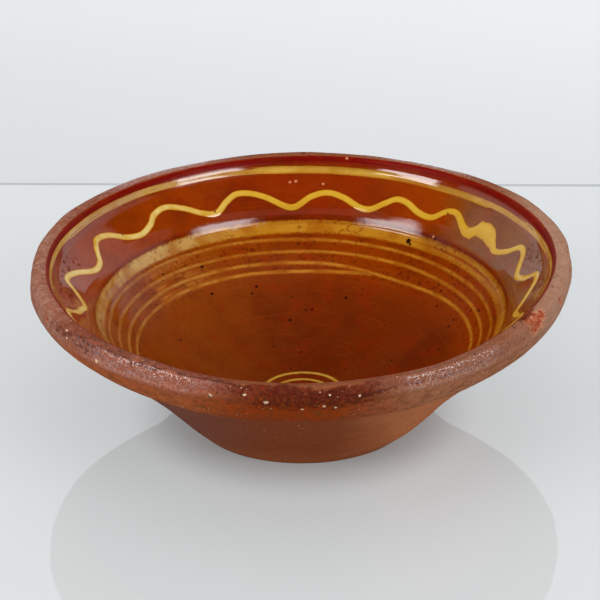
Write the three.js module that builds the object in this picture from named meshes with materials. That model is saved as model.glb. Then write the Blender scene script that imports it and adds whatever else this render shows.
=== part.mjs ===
// Large slip-trailed redware bowl: one thrown and fired clay body with a folded rim,
// a lead-glaze lining, and the trails of pale slip that were laid round its inside.
// Millimetres, +Z up, origin on the table under the middle of the base.
import * as THREE from 'three';

// Clay body, visible sizes
const RIM_RADIUS = 140;
const BOWL_HEIGHT = 92;
const BASE_RADIUS = 60.6;
const BASE_EDGE = 0.8;
const NECK_RADIUS = 115.4;
const NECK_HEIGHT = 57.5;
const WALL_HOLLOW = 0.9;
const COLLAR_STEP = 0.7;
const COLLAR_HEIGHT = 25.5;
const COLLAR_POWER = 1.4;

// Inside face, as seen with its glaze
const FLOOR_HEIGHT = 7.3;
const WELL_EDGE_RADIUS = 106;
const WELL_EDGE_HEIGHT = 59.4;
const WELL_POWER = 2.2;
const SHOULDER_RADIUS = 108.8;
const SHOULDER_HEIGHT = 66;
const FLANGE_FOOT_RADIUS = 112;
const FLANGE_FOOT_HEIGHT = 68.9;
const FLANGE_TOP_RADIUS = 127.5;
const FLANGE_TOP_HEIGHT = 83.4;
const LIP_RADIUS = 131;
const LIP_HEIGHT = 90.2;
const CREST_RADIUS = 134.8;

// Glaze lining and the clearance that neighbouring solids keep
const GLAZE_THICKNESS = 0.9;
const CLEARANCE = 0.3;
const GLAZE_EDGE_RADIUS = 133;

// Trails of slip: radius of the middle, width and height above the glaze
const TRAIL_HEIGHT = 0.9;
const RIM_BAND = { radius: 128.8, width: 5 };
const SHOULDER_BAND_UPPER = { radius: 107, width: 4.4 };
const SHOULDER_BAND_LOWER = { radius: 104.4, width: 3.6 };
const WALL_LINES = [
  { radius: 100.7, width: 2.4 },
  { radius: 95.2, width: 2.4 },
  { radius: 90.2, width: 2.4 },
];
const SHORT_LINE = { radius: 86.1, width: 2.4, from: 57, to: 303 };
const CENTRE_RINGS = [
  { name: 'centre_ring_trail_outer', radius: 22, width: 2.2 },
  { name: 'centre_ring_trail_middle', radius: 16, width: 2.2 },
  { name: 'centre_ring_trail_inner', radius: 10, width: 2.2 },
];

// Wave on the flange: each turn as a bearing in degrees from +X towards +Y,
// and a distance up the flange from its foot
const WAVE_WIDTH = 3.1;
const WAVE_TURNS = [
  [-3, 15], [4, 5], [13.5, 14.5], [22.5, 2.5], [29.5, 8], [36, 2.2], [44.5, 11.8],
  [51, 4.5], [61.5, 10.3], [71, 2], [82, 9.7], [92.5, 1.8], [105.5, 11.8], [115.5, 2.4],
  [129, 13.8], [141, 4], [152, 14.8], [155.6, 15], [161.5, 4], [165.5, 4], [180, 15.4],
  [187.5, 3],
];
const FRONT_WAVES = { first: 204, last: 328, count: 7, crest: 14, trough: 4 };
const LAST_TROUGH = [339, 4.5];

// The two ends of the wave overlap in one broad patch
const PATCH = { bearing: 32, spread: 5, width: 4.5 };

// Steps round the bowl: the coaxial pieces share them, so their gaps stay even
const STEPS = 60;
const RING_STEPS = 30;
const WAVE_STEPS = 180;
const WELL_STEPS = 7;
const BEND_STEPS = 3;
const CROWN_STEPS = 3;
const COLLAR_STEPS = 5;

function material(color, roughness) {
  return new THREE.MeshStandardMaterial({ color, roughness, metalness: 0 });
}

const redClay = material(0x83492e, 0.9);
const leadGlaze = material(0x8c3406, 0.15);
const yellowSlip = material(0xdcab52, 0.2);
const amberSlip = material(0xb3762a, 0.2);

// A quadratic bend through a corner, without its first point
function bend(from, corner, to, steps) {
  const curve = new THREE.QuadraticBezierCurve(from, corner, to);
  return curve.getPoints(steps).slice(1);
}

// Inside face from the middle of the floor to the inner edge of the lip
function insideFace() {
  const points = [];
  for (let i = 0; i <= WELL_STEPS; i += 1) {
    const part = i / WELL_STEPS;
    const rise = (WELL_EDGE_HEIGHT - FLOOR_HEIGHT) * Math.pow(part, WELL_POWER);
    points.push(new THREE.Vector2(WELL_EDGE_RADIUS * part, FLOOR_HEIGHT + rise));
  }
  const wellEdge = points[points.length - 1];
  const shoulder = new THREE.Vector2(SHOULDER_RADIUS, SHOULDER_HEIGHT);
  const flangeFoot = new THREE.Vector2(FLANGE_FOOT_RADIUS, FLANGE_FOOT_HEIGHT);
  const flangeTop = new THREE.Vector2(FLANGE_TOP_RADIUS, FLANGE_TOP_HEIGHT);
  const flangeSlope = (FLANGE_TOP_HEIGHT - FLANGE_FOOT_HEIGHT) / (FLANGE_TOP_RADIUS - FLANGE_FOOT_RADIUS);
  const coveHeight = FLANGE_TOP_HEIGHT + flangeSlope * (LIP_RADIUS - FLANGE_TOP_RADIUS);
  const cove = new THREE.Vector2(LIP_RADIUS, coveHeight);
  const lip = new THREE.Vector2(LIP_RADIUS, LIP_HEIGHT);
  points.push(...bend(wellEdge, shoulder, flangeFoot, BEND_STEPS));
  points.push(flangeTop);
  points.push(...bend(flangeTop, cove, lip, BEND_STEPS));
  return points;
}

// Rounded top of the rim, from the lip over the crest to the widest point
function crown() {
  const lip = new THREE.Vector2(LIP_RADIUS, LIP_HEIGHT);
  const lipTop = new THREE.Vector2(LIP_RADIUS, BOWL_HEIGHT);
  const crest = new THREE.Vector2(CREST_RADIUS, BOWL_HEIGHT);
  const outerTop = new THREE.Vector2(RIM_RADIUS, BOWL_HEIGHT);
  const widest = new THREE.Vector2(RIM_RADIUS, NECK_HEIGHT + COLLAR_HEIGHT);
  return [
    ...bend(lip, lipTop, crest, CROWN_STEPS),
    ...bend(crest, outerTop, widest, CROWN_STEPS + 1),
  ];
}

// Outside of the bowl, from the middle of the base up to the widest point of the rim
function outside() {
  const points = [
    new THREE.Vector2(0, 0),
    new THREE.Vector2(BASE_RADIUS - BASE_EDGE, 0),
    new THREE.Vector2(BASE_RADIUS, BASE_EDGE),
  ];
  const middle = new THREE.Vector2(
    (BASE_RADIUS + NECK_RADIUS) / 2 - WALL_HOLLOW,
    NECK_HEIGHT / 2 + WALL_HOLLOW,
  );
  points.push(middle, new THREE.Vector2(NECK_RADIUS, NECK_HEIGHT));
  const collarFoot = NECK_RADIUS + COLLAR_STEP;
  for (let i = 0; i <= COLLAR_STEPS; i += 1) {
    const turn = (Math.PI / 2) * (i / COLLAR_STEPS);
    const reach = Math.pow(Math.sin(turn), COLLAR_POWER);
    const drop = Math.pow(Math.max(Math.cos(turn), 0), COLLAR_POWER);
    const radius = collarFoot + (RIM_RADIUS - collarFoot) * reach;
    points.push(new THREE.Vector2(radius, NECK_HEIGHT + COLLAR_HEIGHT * (1 - drop)));
  }
  return points;
}

// Unit normals of an outline, pointing out of the clay: up and inwards on the inside face
function outlineNormals(points) {
  return points.map((point, i) => {
    const before = points[Math.max(i - 1, 0)];
    const after = points[Math.min(i + 1, points.length - 1)];
    const along = after.clone().sub(before).normalize();
    return new THREE.Vector2(-along.y, along.x);
  });
}

// The same outline sunk into the clay by a depth, kept on the axis at its middle
function sunk(points, depth) {
  const normals = outlineNormals(points);
  return points.map((point, i) => {
    const moved = point.clone().addScaledVector(normals[i], -depth);
    moved.x = i === 0 ? 0 : moved.x;
    return moved;
  });
}

// A closed outline turned about the bowl's upright axis
function turned(outline, steps) {
  const geometry = new THREE.LatheGeometry(outline, steps);
  geometry.rotateX(Math.PI / 2);
  return geometry;
}

const faceAndCrown = [...insideFace(), ...crown()];
const glazed = faceAndCrown.filter((point) => point.x <= GLAZE_EDGE_RADIUS);

// Distances along the inside face, from the middle of the floor
const faceLengths = [0];
for (let i = 1; i < glazed.length; i += 1) {
  faceLengths.push(faceLengths[i - 1] + glazed[i].distanceTo(glazed[i - 1]));
}
const faceNormals = outlineNormals(glazed);

// Distance along the inside face at which it reaches a radius
function distanceAtRadius(radius) {
  const i = glazed.findIndex((point) => point.x >= radius);
  const part = (radius - glazed[i - 1].x) / (glazed[i].x - glazed[i - 1].x);
  return THREE.MathUtils.lerp(faceLengths[i - 1], faceLengths[i], part);
}

// Point of the bowl's inside at a bearing, a distance along the face and a lift off it
function onFace(bearing, distance, lift) {
  const found = faceLengths.findIndex((length) => length >= distance);
  const i = Math.max(found, 1);
  const part = (distance - faceLengths[i - 1]) / (faceLengths[i] - faceLengths[i - 1]);
  const point = glazed[i - 1].clone().lerp(glazed[i], part);
  const normal = faceNormals[i - 1].clone().lerp(faceNormals[i], part).normalize();
  point.addScaledVector(normal, lift);
  return new THREE.Vector3(point.x * Math.cos(bearing), point.x * Math.sin(bearing), point.y);
}

// Low rounded section of a trail, across from -0.5 to 0.5 of its width and up from 0 to 1
const SECTION = [
  new THREE.Vector2(-0.5, 0),
  new THREE.Vector2(0, 0),
  new THREE.Vector2(0.5, 0),
  new THREE.Vector2(0.28, 0.8),
  new THREE.Vector2(-0.28, 0.8),
];
const SECTION_OFFSET = 10;

// A closed trail: a ring of the section, then every point is laid on the inside face
function closedTrail(steps, distanceAt, widthAt) {
  const outline = SECTION.map((point) => new THREE.Vector2(SECTION_OFFSET + point.x, point.y));
  outline.push(outline[0].clone());
  const geometry = turned(outline, steps);
  const position = geometry.attributes.position;
  for (let i = 0; i < position.count; i += 1) {
    const bearing = Math.atan2(position.getY(i), position.getX(i));
    const across = Math.hypot(position.getX(i), position.getY(i)) - SECTION_OFFSET;
    const lift = CLEARANCE + TRAIL_HEIGHT * position.getZ(i);
    const distance = distanceAt(bearing) + across * widthAt(bearing);
    const point = onFace(bearing, distance, lift);
    position.setXYZ(i, point.x, point.y, point.z);
  }
  return geometry;
}

// A trail of one radius and width all the way round
function ringTrail(trail, steps) {
  const distance = distanceAtRadius(trail.radius);
  return closedTrail(steps, () => distance, () => trail.width);
}

// A trail that starts and stops: a bar bent round the bowl, thinned to its two ends
function openTrail(trail, steps) {
  const geometry = new THREE.BoxGeometry(1, 1, 1, steps, 2, 1);
  const position = geometry.attributes.position;
  const distance = distanceAtRadius(trail.radius);
  const start = THREE.MathUtils.degToRad(trail.from);
  const sweep = THREE.MathUtils.degToRad(trail.to - trail.from);
  for (let i = 0; i < position.count; i += 1) {
    const part = position.getX(i) + 0.5;
    const end = Math.min(part, 1 - part) < 0.5 / steps;
    const across = -position.getY(i) * trail.width * (end ? 0.4 : 1);
    const crest = position.getY(i) === 0 ? 1 : 0.5;
    const up = position.getZ(i) > 0 ? crest * TRAIL_HEIGHT : 0;
    const point = onFace(start + sweep * part, distance + across, CLEARANCE + up);
    position.setXYZ(i, point.x, point.y, point.z);
  }
  return geometry;
}

// All turns of the wave, in order round the bowl
function waveTurns() {
  const turns = [...WAVE_TURNS];
  const pitch = (FRONT_WAVES.last - FRONT_WAVES.first) / (FRONT_WAVES.count - 1);
  for (let i = 0; i < FRONT_WAVES.count; i += 1) {
    const bearing = FRONT_WAVES.first + i * pitch;
    turns.push([bearing, FRONT_WAVES.crest]);
    if (i < FRONT_WAVES.count - 1) turns.push([bearing + pitch / 2, FRONT_WAVES.trough]);
  }
  turns.push(LAST_TROUGH);
  const [firstBearing, firstHeight] = turns[0];
  turns.push([firstBearing + 360, firstHeight]);
  return turns;
}

const turns = waveTurns();

// Bearing in degrees, counted on from the wave's first turn
function bearingFromFirstTurn(bearing) {
  const first = turns[0][0];
  const degrees = THREE.MathUtils.radToDeg(bearing);
  return first + THREE.MathUtils.euclideanModulo(degrees - first, 360);
}

// Distance of the wave up the flange: an easy curve from each turn to the next
function waveHeight(bearing) {
  const degrees = bearingFromFirstTurn(bearing);
  const i = turns.findIndex((turn) => turn[0] > degrees);
  const [startBearing, startHeight] = turns[i - 1];
  const [endBearing, endHeight] = turns[i];
  const part = (degrees - startBearing) / (endBearing - startBearing);
  const ease = (1 - Math.cos(Math.PI * part)) / 2;
  return THREE.MathUtils.lerp(startHeight, endHeight, ease);
}

// Width of the wave measured up the flange: more where it runs steeply, and at the patch
function waveWidth(bearing) {
  const step = THREE.MathUtils.degToRad(0.5);
  const rise = (waveHeight(bearing + step) - waveHeight(bearing - step)) / (2 * step * SHOULDER_RADIUS);
  const off = (bearingFromFirstTurn(bearing) - PATCH.bearing) / PATCH.spread;
  return WAVE_WIDTH * Math.hypot(1, rise) + PATCH.width * Math.exp(-off * off);
}

function clayBodyGeometry() {
  const edge = glazed[glazed.length - 1];
  const beyond = faceAndCrown[glazed.length];
  const bareEdge = edge.clone().lerp(beyond, CLEARANCE / edge.distanceTo(beyond));
  const bareTop = faceAndCrown.slice(glazed.length, -1).reverse();
  const lining = sunk(glazed, GLAZE_THICKNESS + CLEARANCE).reverse();
  lining[0].x = bareEdge.x;
  return turned([...outside(), ...bareTop, bareEdge, ...lining], STEPS);
}

function glazeGeometry() {
  const back = sunk(glazed, GLAZE_THICKNESS);
  back[back.length - 1].x = glazed[glazed.length - 1].x;
  return turned([...back, ...glazed.slice().reverse()], STEPS);
}

const bowl = new THREE.Group();
bowl.name = 'slip_trailed_bowl';

function add(name, geometry, finish) {
  const mesh = new THREE.Mesh(geometry, finish);
  mesh.name = name;
  bowl.add(mesh);
}

add('clay_body', clayBodyGeometry(), redClay);
add('glaze_coat', glazeGeometry(), leadGlaze);
add('rim_band_trail', ringTrail(RIM_BAND, STEPS), yellowSlip);

const flangeFootDistance = distanceAtRadius(FLANGE_FOOT_RADIUS);
const waveDistance = (bearing) => flangeFootDistance + waveHeight(bearing);
add('wave_trail', closedTrail(WAVE_STEPS, waveDistance, waveWidth), yellowSlip);

add('shoulder_band_trail_upper', ringTrail(SHOULDER_BAND_UPPER, STEPS), amberSlip);
add('shoulder_band_trail_lower', ringTrail(SHOULDER_BAND_LOWER, STEPS), amberSlip);
WALL_LINES.forEach((line, i) => {
  add(`wall_line_trail_${i + 1}`, ringTrail(line, STEPS), amberSlip);
});
add(`wall_line_trail_${WALL_LINES.length + 1}`, openTrail(SHORT_LINE, RING_STEPS), amberSlip);
for (const ring of CENTRE_RINGS) {
  add(ring.name, ringTrail(ring, RING_STEPS), amberSlip);
}

export default bowl;
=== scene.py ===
"""A large slip-trailed redware bowl: turned clay body, glaze lining and trails of pale slip.

Everything is in metres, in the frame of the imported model, with +Z up.
"""
import logging
import math
from bisect import bisect_left, bisect_right
from collections.abc import Sequence
from dataclasses import dataclass
from enum import Enum
from functools import lru_cache

import bmesh
import bpy
from bmesh.types import BMesh
from bpy.types import Material, Node, NodeSocket, Object
from mathutils import Matrix, Vector, noise


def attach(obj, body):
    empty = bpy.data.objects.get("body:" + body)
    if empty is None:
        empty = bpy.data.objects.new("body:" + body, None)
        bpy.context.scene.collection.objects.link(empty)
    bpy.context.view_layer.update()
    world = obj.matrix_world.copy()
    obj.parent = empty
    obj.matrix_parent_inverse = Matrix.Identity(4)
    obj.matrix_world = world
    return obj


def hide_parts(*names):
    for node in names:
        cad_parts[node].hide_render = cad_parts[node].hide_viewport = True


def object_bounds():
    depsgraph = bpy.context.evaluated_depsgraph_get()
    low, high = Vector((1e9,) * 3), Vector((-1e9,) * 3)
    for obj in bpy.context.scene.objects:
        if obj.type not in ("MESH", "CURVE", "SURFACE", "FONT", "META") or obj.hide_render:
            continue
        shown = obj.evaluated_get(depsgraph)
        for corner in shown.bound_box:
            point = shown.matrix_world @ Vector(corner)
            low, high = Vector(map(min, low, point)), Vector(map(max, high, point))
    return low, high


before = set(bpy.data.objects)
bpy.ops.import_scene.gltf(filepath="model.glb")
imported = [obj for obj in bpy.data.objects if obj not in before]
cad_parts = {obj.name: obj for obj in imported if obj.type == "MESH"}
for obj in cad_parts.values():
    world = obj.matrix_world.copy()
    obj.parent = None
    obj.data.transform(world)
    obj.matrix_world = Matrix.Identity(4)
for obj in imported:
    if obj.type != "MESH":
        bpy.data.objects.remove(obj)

CAD_LOW, CAD_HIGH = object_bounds()
BODY = "root"
MM = 0.001
RIM_RADIUS = CAD_HIGH.x
RIM_HEIGHT = CAD_HIGH.z
DENSITY = 1.0

log = logging.getLogger("bowl")

Colour = tuple[float, ...]
Shades = tuple[Colour, Colour, Colour]
Knots = tuple[tuple[float, float], ...]


class Slot(Enum):
    """The finishes named in the record."""

    CLAY = "red_clay"
    GLAZE = "lead_glaze"
    YELLOW = "yellow_slip"
    AMBER = "amber_slip"


class Attribute(Enum):
    """Values that a piece's points carry for its finish."""

    ACROSS = "across"
    COVER = "cover"
    CHIP = "chip"
    LEVEL = "level"


def linear(red: int, green: int, blue: int) -> Colour:
    """Turns a colour as it is seen on a screen into a shader's colour.

    Args:
        red: Red from 0 to 255.
        green: Green from 0 to 255.
        blue: Blue from 0 to 255.

    Returns:
        Red, green, blue and a full alpha, for a colour socket.
    """
    values = []
    for part in (red, green, blue):
        share = part / 255
        values.append(share / 12.92 if share <= 0.04045 else ((share + 0.055) / 1.055) ** 2.4)
    return values[0], values[1], values[2], 1.0


def shades(*tones: tuple[int, int, int]) -> Shades:
    """Turns some screen colours into a shader's, which go from left to right."""
    return tuple(linear(*tone) for tone in tones)


def smooth(value: float, low: float, high: float) -> float:
    """Eases a value from 0 at low to 1 at high."""
    share = min(max((value - low) / (high - low), 0.0), 1.0)
    return share * share * (3 - 2 * share)


def wander(bearing: float, seed: float, size: float) -> float:
    """Gives a slow, closed drift of up to size at a bearing, the same on every run."""
    return size * noise.noise(Vector((1.7 * math.cos(bearing), 1.7 * math.sin(bearing), seed)))


def knotted(knots: Knots, bearing: float) -> float:
    """Eases between values that are given for some bearings.

    Args:
        knots: Bearings in degrees, rising, each with its value.
        bearing: The bearing that is asked for, in radians.

    Returns:
        The value there, eased all the way round.
    """
    first = knots[0][0]
    degrees = first + (math.degrees(bearing) - first) % 360
    closed = list(knots) + [(first + 360, knots[0][1])]
    i = next(k for k, knot in enumerate(closed[1:]) if degrees <= knot[0])
    (start, low), (end, high) = closed[i], closed[i + 1]
    return low + (high - low) * smooth(degrees, start, end)


def quadratic(start: Vector, corner: Vector, end: Vector, steps: int) -> list[Vector]:
    """Bends a line through a corner.

    Args:
        start: Where the bend starts, which is left out of the result.
        corner: The corner that the bend is drawn towards.
        end: Where the bend ends.
        steps: How many points to return.

    Returns:
        Points along the bend, the last of them at its end.
    """
    points = []
    for i in range(1, steps + 1):
        t = i / steps
        points.append(start * (1 - t) ** 2 + corner * 2 * t * (1 - t) + end * t * t)
    return points


class Outline:
    """A half outline of a turned shape, as points of radius and height, that knows its lengths."""

    def __init__(self, points: Sequence[Vector]) -> None:
        """Keeps the points and measures the way along them.

        Args:
            points: Radius and height of each point, in order.
        """
        self.points = list(points)
        self.radii = [point.x for point in self.points]
        self.lengths = [0.0]
        for before, after in zip(self.points, self.points[1:]):
            self.lengths.append(self.lengths[-1] + (after - before).length)

    @property
    def length(self) -> float:
        """The whole length of the outline."""
        return self.lengths[-1]

    def at(self, distance: float) -> tuple[Vector, Vector]:
        """Finds a place on the outline.

        Args:
            distance: How far along the outline, from its first point.

        Returns:
            The point there, and the unit normal to the left of the way along.
        """
        i = min(max(bisect_right(self.lengths, distance), 1), len(self.points) - 1)
        part = (distance - self.lengths[i - 1]) / (self.lengths[i] - self.lengths[i - 1])
        point = self.points[i - 1].lerp(self.points[i], part)
        normal = self.normal(i - 1).lerp(self.normal(i), min(max(part, 0.0), 1.0))
        return point, normal.normalized()

    def normal(self, i: int) -> Vector:
        """Finds the normal at one of the outline's points.

        Args:
            i: Which point it is.

        Returns:
            The unit normal, to the left of the way along.
        """
        before = self.points[max(i - 1, 0)]
        after = self.points[min(i + 1, len(self.points) - 1)]
        along = (after - before).normalized()
        return Vector((-along.y, along.x))

    def distance_at_radius(self, radius: float) -> float:
        """Finds how far along the outline reaches a radius, where it only runs outwards.

        Args:
            radius: The radius.

        Returns:
            The distance from the first point.
        """
        i = min(max(bisect_left(self.radii, radius), 1), len(self.points) - 1)
        part = (radius - self.radii[i - 1]) / (self.radii[i] - self.radii[i - 1])
        return self.lengths[i - 1] + part * (self.lengths[i] - self.lengths[i - 1])

    def sample(self, start: float, end: float, spacing: float) -> list[Vector]:
        """Takes points from the outline, both ends included.

        Args:
            start: Distance of the first point.
            end: Distance of the last point.
            spacing: About how far apart they are.

        Returns:
            The points.
        """
        count = max(2, round((end - start) / spacing) + 1)
        return [self.at(start + (end - start) * i / (count - 1))[0] for i in range(count)]


@dataclass(frozen=True)
class InsideShape:
    """The glazed inside of the bowl, and the rounded crown of its rim."""

    floor_height: float = 7.3 * MM
    well_radius: float = 106 * MM
    well_height: float = 59.4 * MM
    well_power: float = 2.2
    shoulder_foot: tuple[float, float] = (107.0 * MM, 60.8 * MM)
    shoulder_top: tuple[float, float] = (109.0 * MM, 64.5 * MM)
    shoulder_bend: tuple[float, float] = (109.6 * MM, 65.35 * MM)
    flange_foot: tuple[float, float] = (112.6 * MM, 69.35 * MM)
    flange_top: tuple[float, float] = (125.8 * MM, 81.6 * MM)
    cove: tuple[float, float] = (126.9 * MM, 82.6 * MM)
    cove_foot: tuple[float, float] = (127.5 * MM, 83.6 * MM)
    cove_top: tuple[float, float] = (129.4 * MM, 86.6 * MM)
    lip: tuple[float, float] = (130.9 * MM, 90.3 * MM)
    crest_radius: float = 134.8 * MM
    widest_height: float = 83 * MM
    well_steps: int = 60
    bend_steps: int = 12

    def outline(self) -> Outline:
        """Draws the shape from the middle of the floor, over the crest, to the rim's widest point.

        Returns:
            The outline, as radius and height.
        """
        points = []
        for i in range(self.well_steps + 1):
            part = i / self.well_steps
            rise = (self.well_height - self.floor_height) * part**self.well_power
            points.append(Vector((self.well_radius * part, self.floor_height + rise)))
        foot = Vector(self.shoulder_foot)
        bend = Vector(self.shoulder_bend)
        cove_foot = Vector(self.cove_foot)
        lip = Vector(self.lip)
        crest = Vector((self.crest_radius, RIM_HEIGHT))
        widest = Vector((RIM_RADIUS, self.widest_height))
        for corner, end, steps in (
            (points[-1].lerp(foot, 0.6), foot, 3), (None, Vector(self.shoulder_top), 6), (None, bend, 2),
            (bend + Vector((1.6 * MM, 2.2 * MM)), Vector(self.flange_foot), self.bend_steps),
            (None, Vector(self.flange_top), self.bend_steps), (Vector(self.cove), cove_foot, self.bend_steps),
            (None, Vector(self.cove_top), 4),
            (lip + Vector((-1.1 * MM, -2.9 * MM)), lip, self.bend_steps),
            (Vector((lip.x + 0.3 * MM, RIM_HEIGHT)), crest, self.bend_steps),
            (Vector((RIM_RADIUS, RIM_HEIGHT)), widest, self.bend_steps),
        ):
            start = points[-1]
            points += quadratic(start, start.lerp(end, 0.5) if corner is None else corner, end, steps)
        return Outline(points)

    def relief(self, place: Vector) -> float:
        """How far the thrown surface stands off its smooth outline.

        Args:
            place: A place on the smooth surface.

        Returns:
            The distance, outwards.
        """
        bearing = math.atan2(place.y, place.x)
        radius = math.hypot(place.x, place.y)
        rings = Vector((radius * 420, 0.7 * math.cos(bearing), 0.7 * math.sin(bearing)))
        swell = 0.16 * noise.noise(place * 28) + 0.05 * noise.noise(place * 95)
        return MM * (swell + 0.05 * noise.noise(rings)) * smooth(radius, 0.0, 0.02)


INSIDE = InsideShape()
FACE = INSIDE.outline()
# How the soft rim settled: its tilt as rise over run, and by bearing in degrees how many
# millimetres it dips and swells.
RIM_TILT = 0.0093
RIM_DIPS = (
    (200, 0.2), (216, 1.6), (226, 2.2), (236, 2.3), (246, 3.7), (258, 4.7), (270, 5.3),
    (298, 5.3), (307, 4.2), (315, 2.7), (327, 1.2), (345, 0.0),
)
RIM_SWELLS = (
    (0, 1.2), (7, 2.3), (28, 2.8), (40, 1.5), (56, 0.0), (64, -0.9), (74, -0.2), (92, 1.4), (112, 1.5),
    (128, 2.8), (142, 2.4), (154, 3.0), (168, 1.7), (184, 0.5), (194, 1.4), (212, 1.2), (224, 0.3),
    (240, 0.0), (318, 0.3), (332, 0.9), (346, 0.3),
)
# The rim's settling is worked out once for each of these small steps.
STEPS_PER_DEGREE = 20


@lru_cache(maxsize=None)
def sagged(step: int) -> tuple[float, float]:
    """How far the rim dips and swells, at a bearing counted in small steps."""
    bearing = math.radians(step / STEPS_PER_DEGREE)
    return knotted(RIM_DIPS, bearing) * MM, knotted(RIM_SWELLS, bearing) * MM


def settled(place: Vector) -> Vector:
    """Moves a place as the soft rim settled before firing: tilted, sagging in front, swollen at the sides.

    Args:
        place: A place on the evenly turned bowl.

    Returns:
        Where it lies on the fired bowl.
    """
    radius = math.hypot(place.x, place.y)
    dip, swell = sagged(round(math.degrees(math.atan2(place.y, place.x)) * STEPS_PER_DEGREE))
    sag = smooth(place.z, 72 * MM, 91 * MM) * (1 - 0.5 * smooth(radius, 134.5 * MM, 139 * MM))
    grown = swell * smooth(radius, 129 * MM, 138 * MM)
    wider = 1 + grown / max(radius, MM)
    lower = place.z * (1 + RIM_TILT * place.x / RIM_HEIGHT) - dip * sag
    return Vector((place.x * wider, place.y * wider, lower))


def spun(points: Sequence[Vector], steps: int, closed: bool = False) -> BMesh:
    """Spins an outline once round the upright axis.

    Args:
        points: The outline as radius and height.
        steps: How many steps make the full turn.
        closed: Whether the outline's last point joins its first.

    Returns:
        The turned shape, welded at its poles and seam, with its faces pointing out.
    """
    steps = round(steps * DENSITY)
    shape = bmesh.new()
    verts = [shape.verts.new((point.x, 0.0, point.y)) for point in points]
    ring = verts + verts[:1] if closed else verts
    edges = [shape.edges.new(pair) for pair in zip(ring, ring[1:])]
    bmesh.ops.spin(
        shape, geom=verts + edges, cent=(0, 0, 0), axis=(0, 0, 1), dvec=(0, 0, 0),
        angle=math.tau, steps=steps, use_merge=True, use_duplicate=False,
    )
    bmesh.ops.remove_doubles(shape, verts=shape.verts, dist=1e-6)
    bmesh.ops.recalc_face_normals(shape, faces=shape.faces)
    shape.normal_update()
    return shape


def place_piece(
    shape: BMesh, name: str, finish: Material, nodes: Sequence[str]
) -> Object:
    """Makes a shape a piece of the bowl.

    Args:
        shape: The finished shape, which is freed.
        name: The piece's name.
        finish: Its material.
        nodes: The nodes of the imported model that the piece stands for.

    Returns:
        The piece, riding on the bowl's body.
    """
    for vert in shape.verts:
        vert.co = settled(vert.co)
    mesh = bpy.data.meshes.new(name)
    shape.to_mesh(mesh)
    shape.free()
    mesh.shade_smooth()
    mesh.materials.append(finish)
    piece = bpy.data.objects.new(name, mesh)
    bpy.context.scene.collection.objects.link(piece)
    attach(piece, BODY)
    if nodes:
        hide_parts(*nodes)
    log.info("%s: %d faces, stands for %s", name, len(mesh.polygons), ", ".join(nodes) or "itself")
    return piece


@dataclass(frozen=True)
class Spot:
    """A small mark on the surface: its place in millimetres and how far it reaches."""

    x: float
    y: float
    z: float
    reach: float


def spot(bearing: float, radius: float, height: float, reach: float) -> Spot:
    """Places a spot by its bearing in degrees, and by radius, height and reach in millimetres."""
    turn = math.radians(bearing)
    return Spot(radius * math.cos(turn), radius * math.sin(turn), height, reach)


class Value:
    """A number or a colour that a material's nodes work out, which takes part in plain sums."""

    def __init__(self, graph: "Graph", socket: NodeSocket) -> None:
        """Keeps the node's socket, and the material that it belongs to."""
        self.graph = graph
        self.socket = socket

    def __add__(self, other: "Number") -> "Value":
        """The sum of two numbers."""
        return self.graph.calc("ADD", self, other)

    def __sub__(self, other: "Number") -> "Value":
        """The number less another."""
        return self.graph.calc("SUBTRACT", self, other)

    def __rsub__(self, other: float) -> "Value":
        """A plain number less this one."""
        return self.graph.calc("SUBTRACT", other, self)

    def __mul__(self, other: "Number") -> "Value":
        """The product of two numbers."""
        return self.graph.calc("MULTIPLY", self, other)

    def __truediv__(self, other: "Number") -> "Value":
        """The number divided by another."""
        return self.graph.calc("DIVIDE", self, other)

    def __abs__(self) -> "Value":
        """The number without its sign."""
        return self.graph.calc("ABSOLUTE", self)

    def most(self, other: "Number") -> "Value":
        """The greater of two numbers."""
        return self.graph.calc("MAXIMUM", self, other)

    def ease(self, low: float, high: float) -> "Value":
        """Eases the number.

        Args:
            low: Where the result is 0. It may be the greater one.
            high: Where the result is 1.

        Returns:
            A number from 0 to 1.
        """
        node = self.graph.node("MapRange")
        node.interpolation_type = "SMOOTHSTEP"
        turned = low > high
        self.graph.dress(node, {
            "Value": self, "From Min": min(low, high), "From Max": max(low, high),
            "To Min": 1.0 if turned else 0.0, "To Max": 0.0 if turned else 1.0,
        })
        return Value(self.graph, node.outputs["Result"])

    def ease_mm(self, low: float, high: float) -> "Value":
        """Eases a length between two others that are given in millimetres."""
        return self.ease(low * MM, high * MM)

    def band(self, start: float, full: float, end: float, gone: float) -> "Value":
        """A mask that is 1 from full to end, and 0 before start and after gone, in millimetres."""
        return self.ease_mm(start, full) * self.ease_mm(gone, end)

    def mixed(self, share: "Number", other: "Value | Colour") -> "Value":
        """This colour with a share of another laid over it."""
        return self.graph.mix(share, self, other)


Number = Value | float


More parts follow.
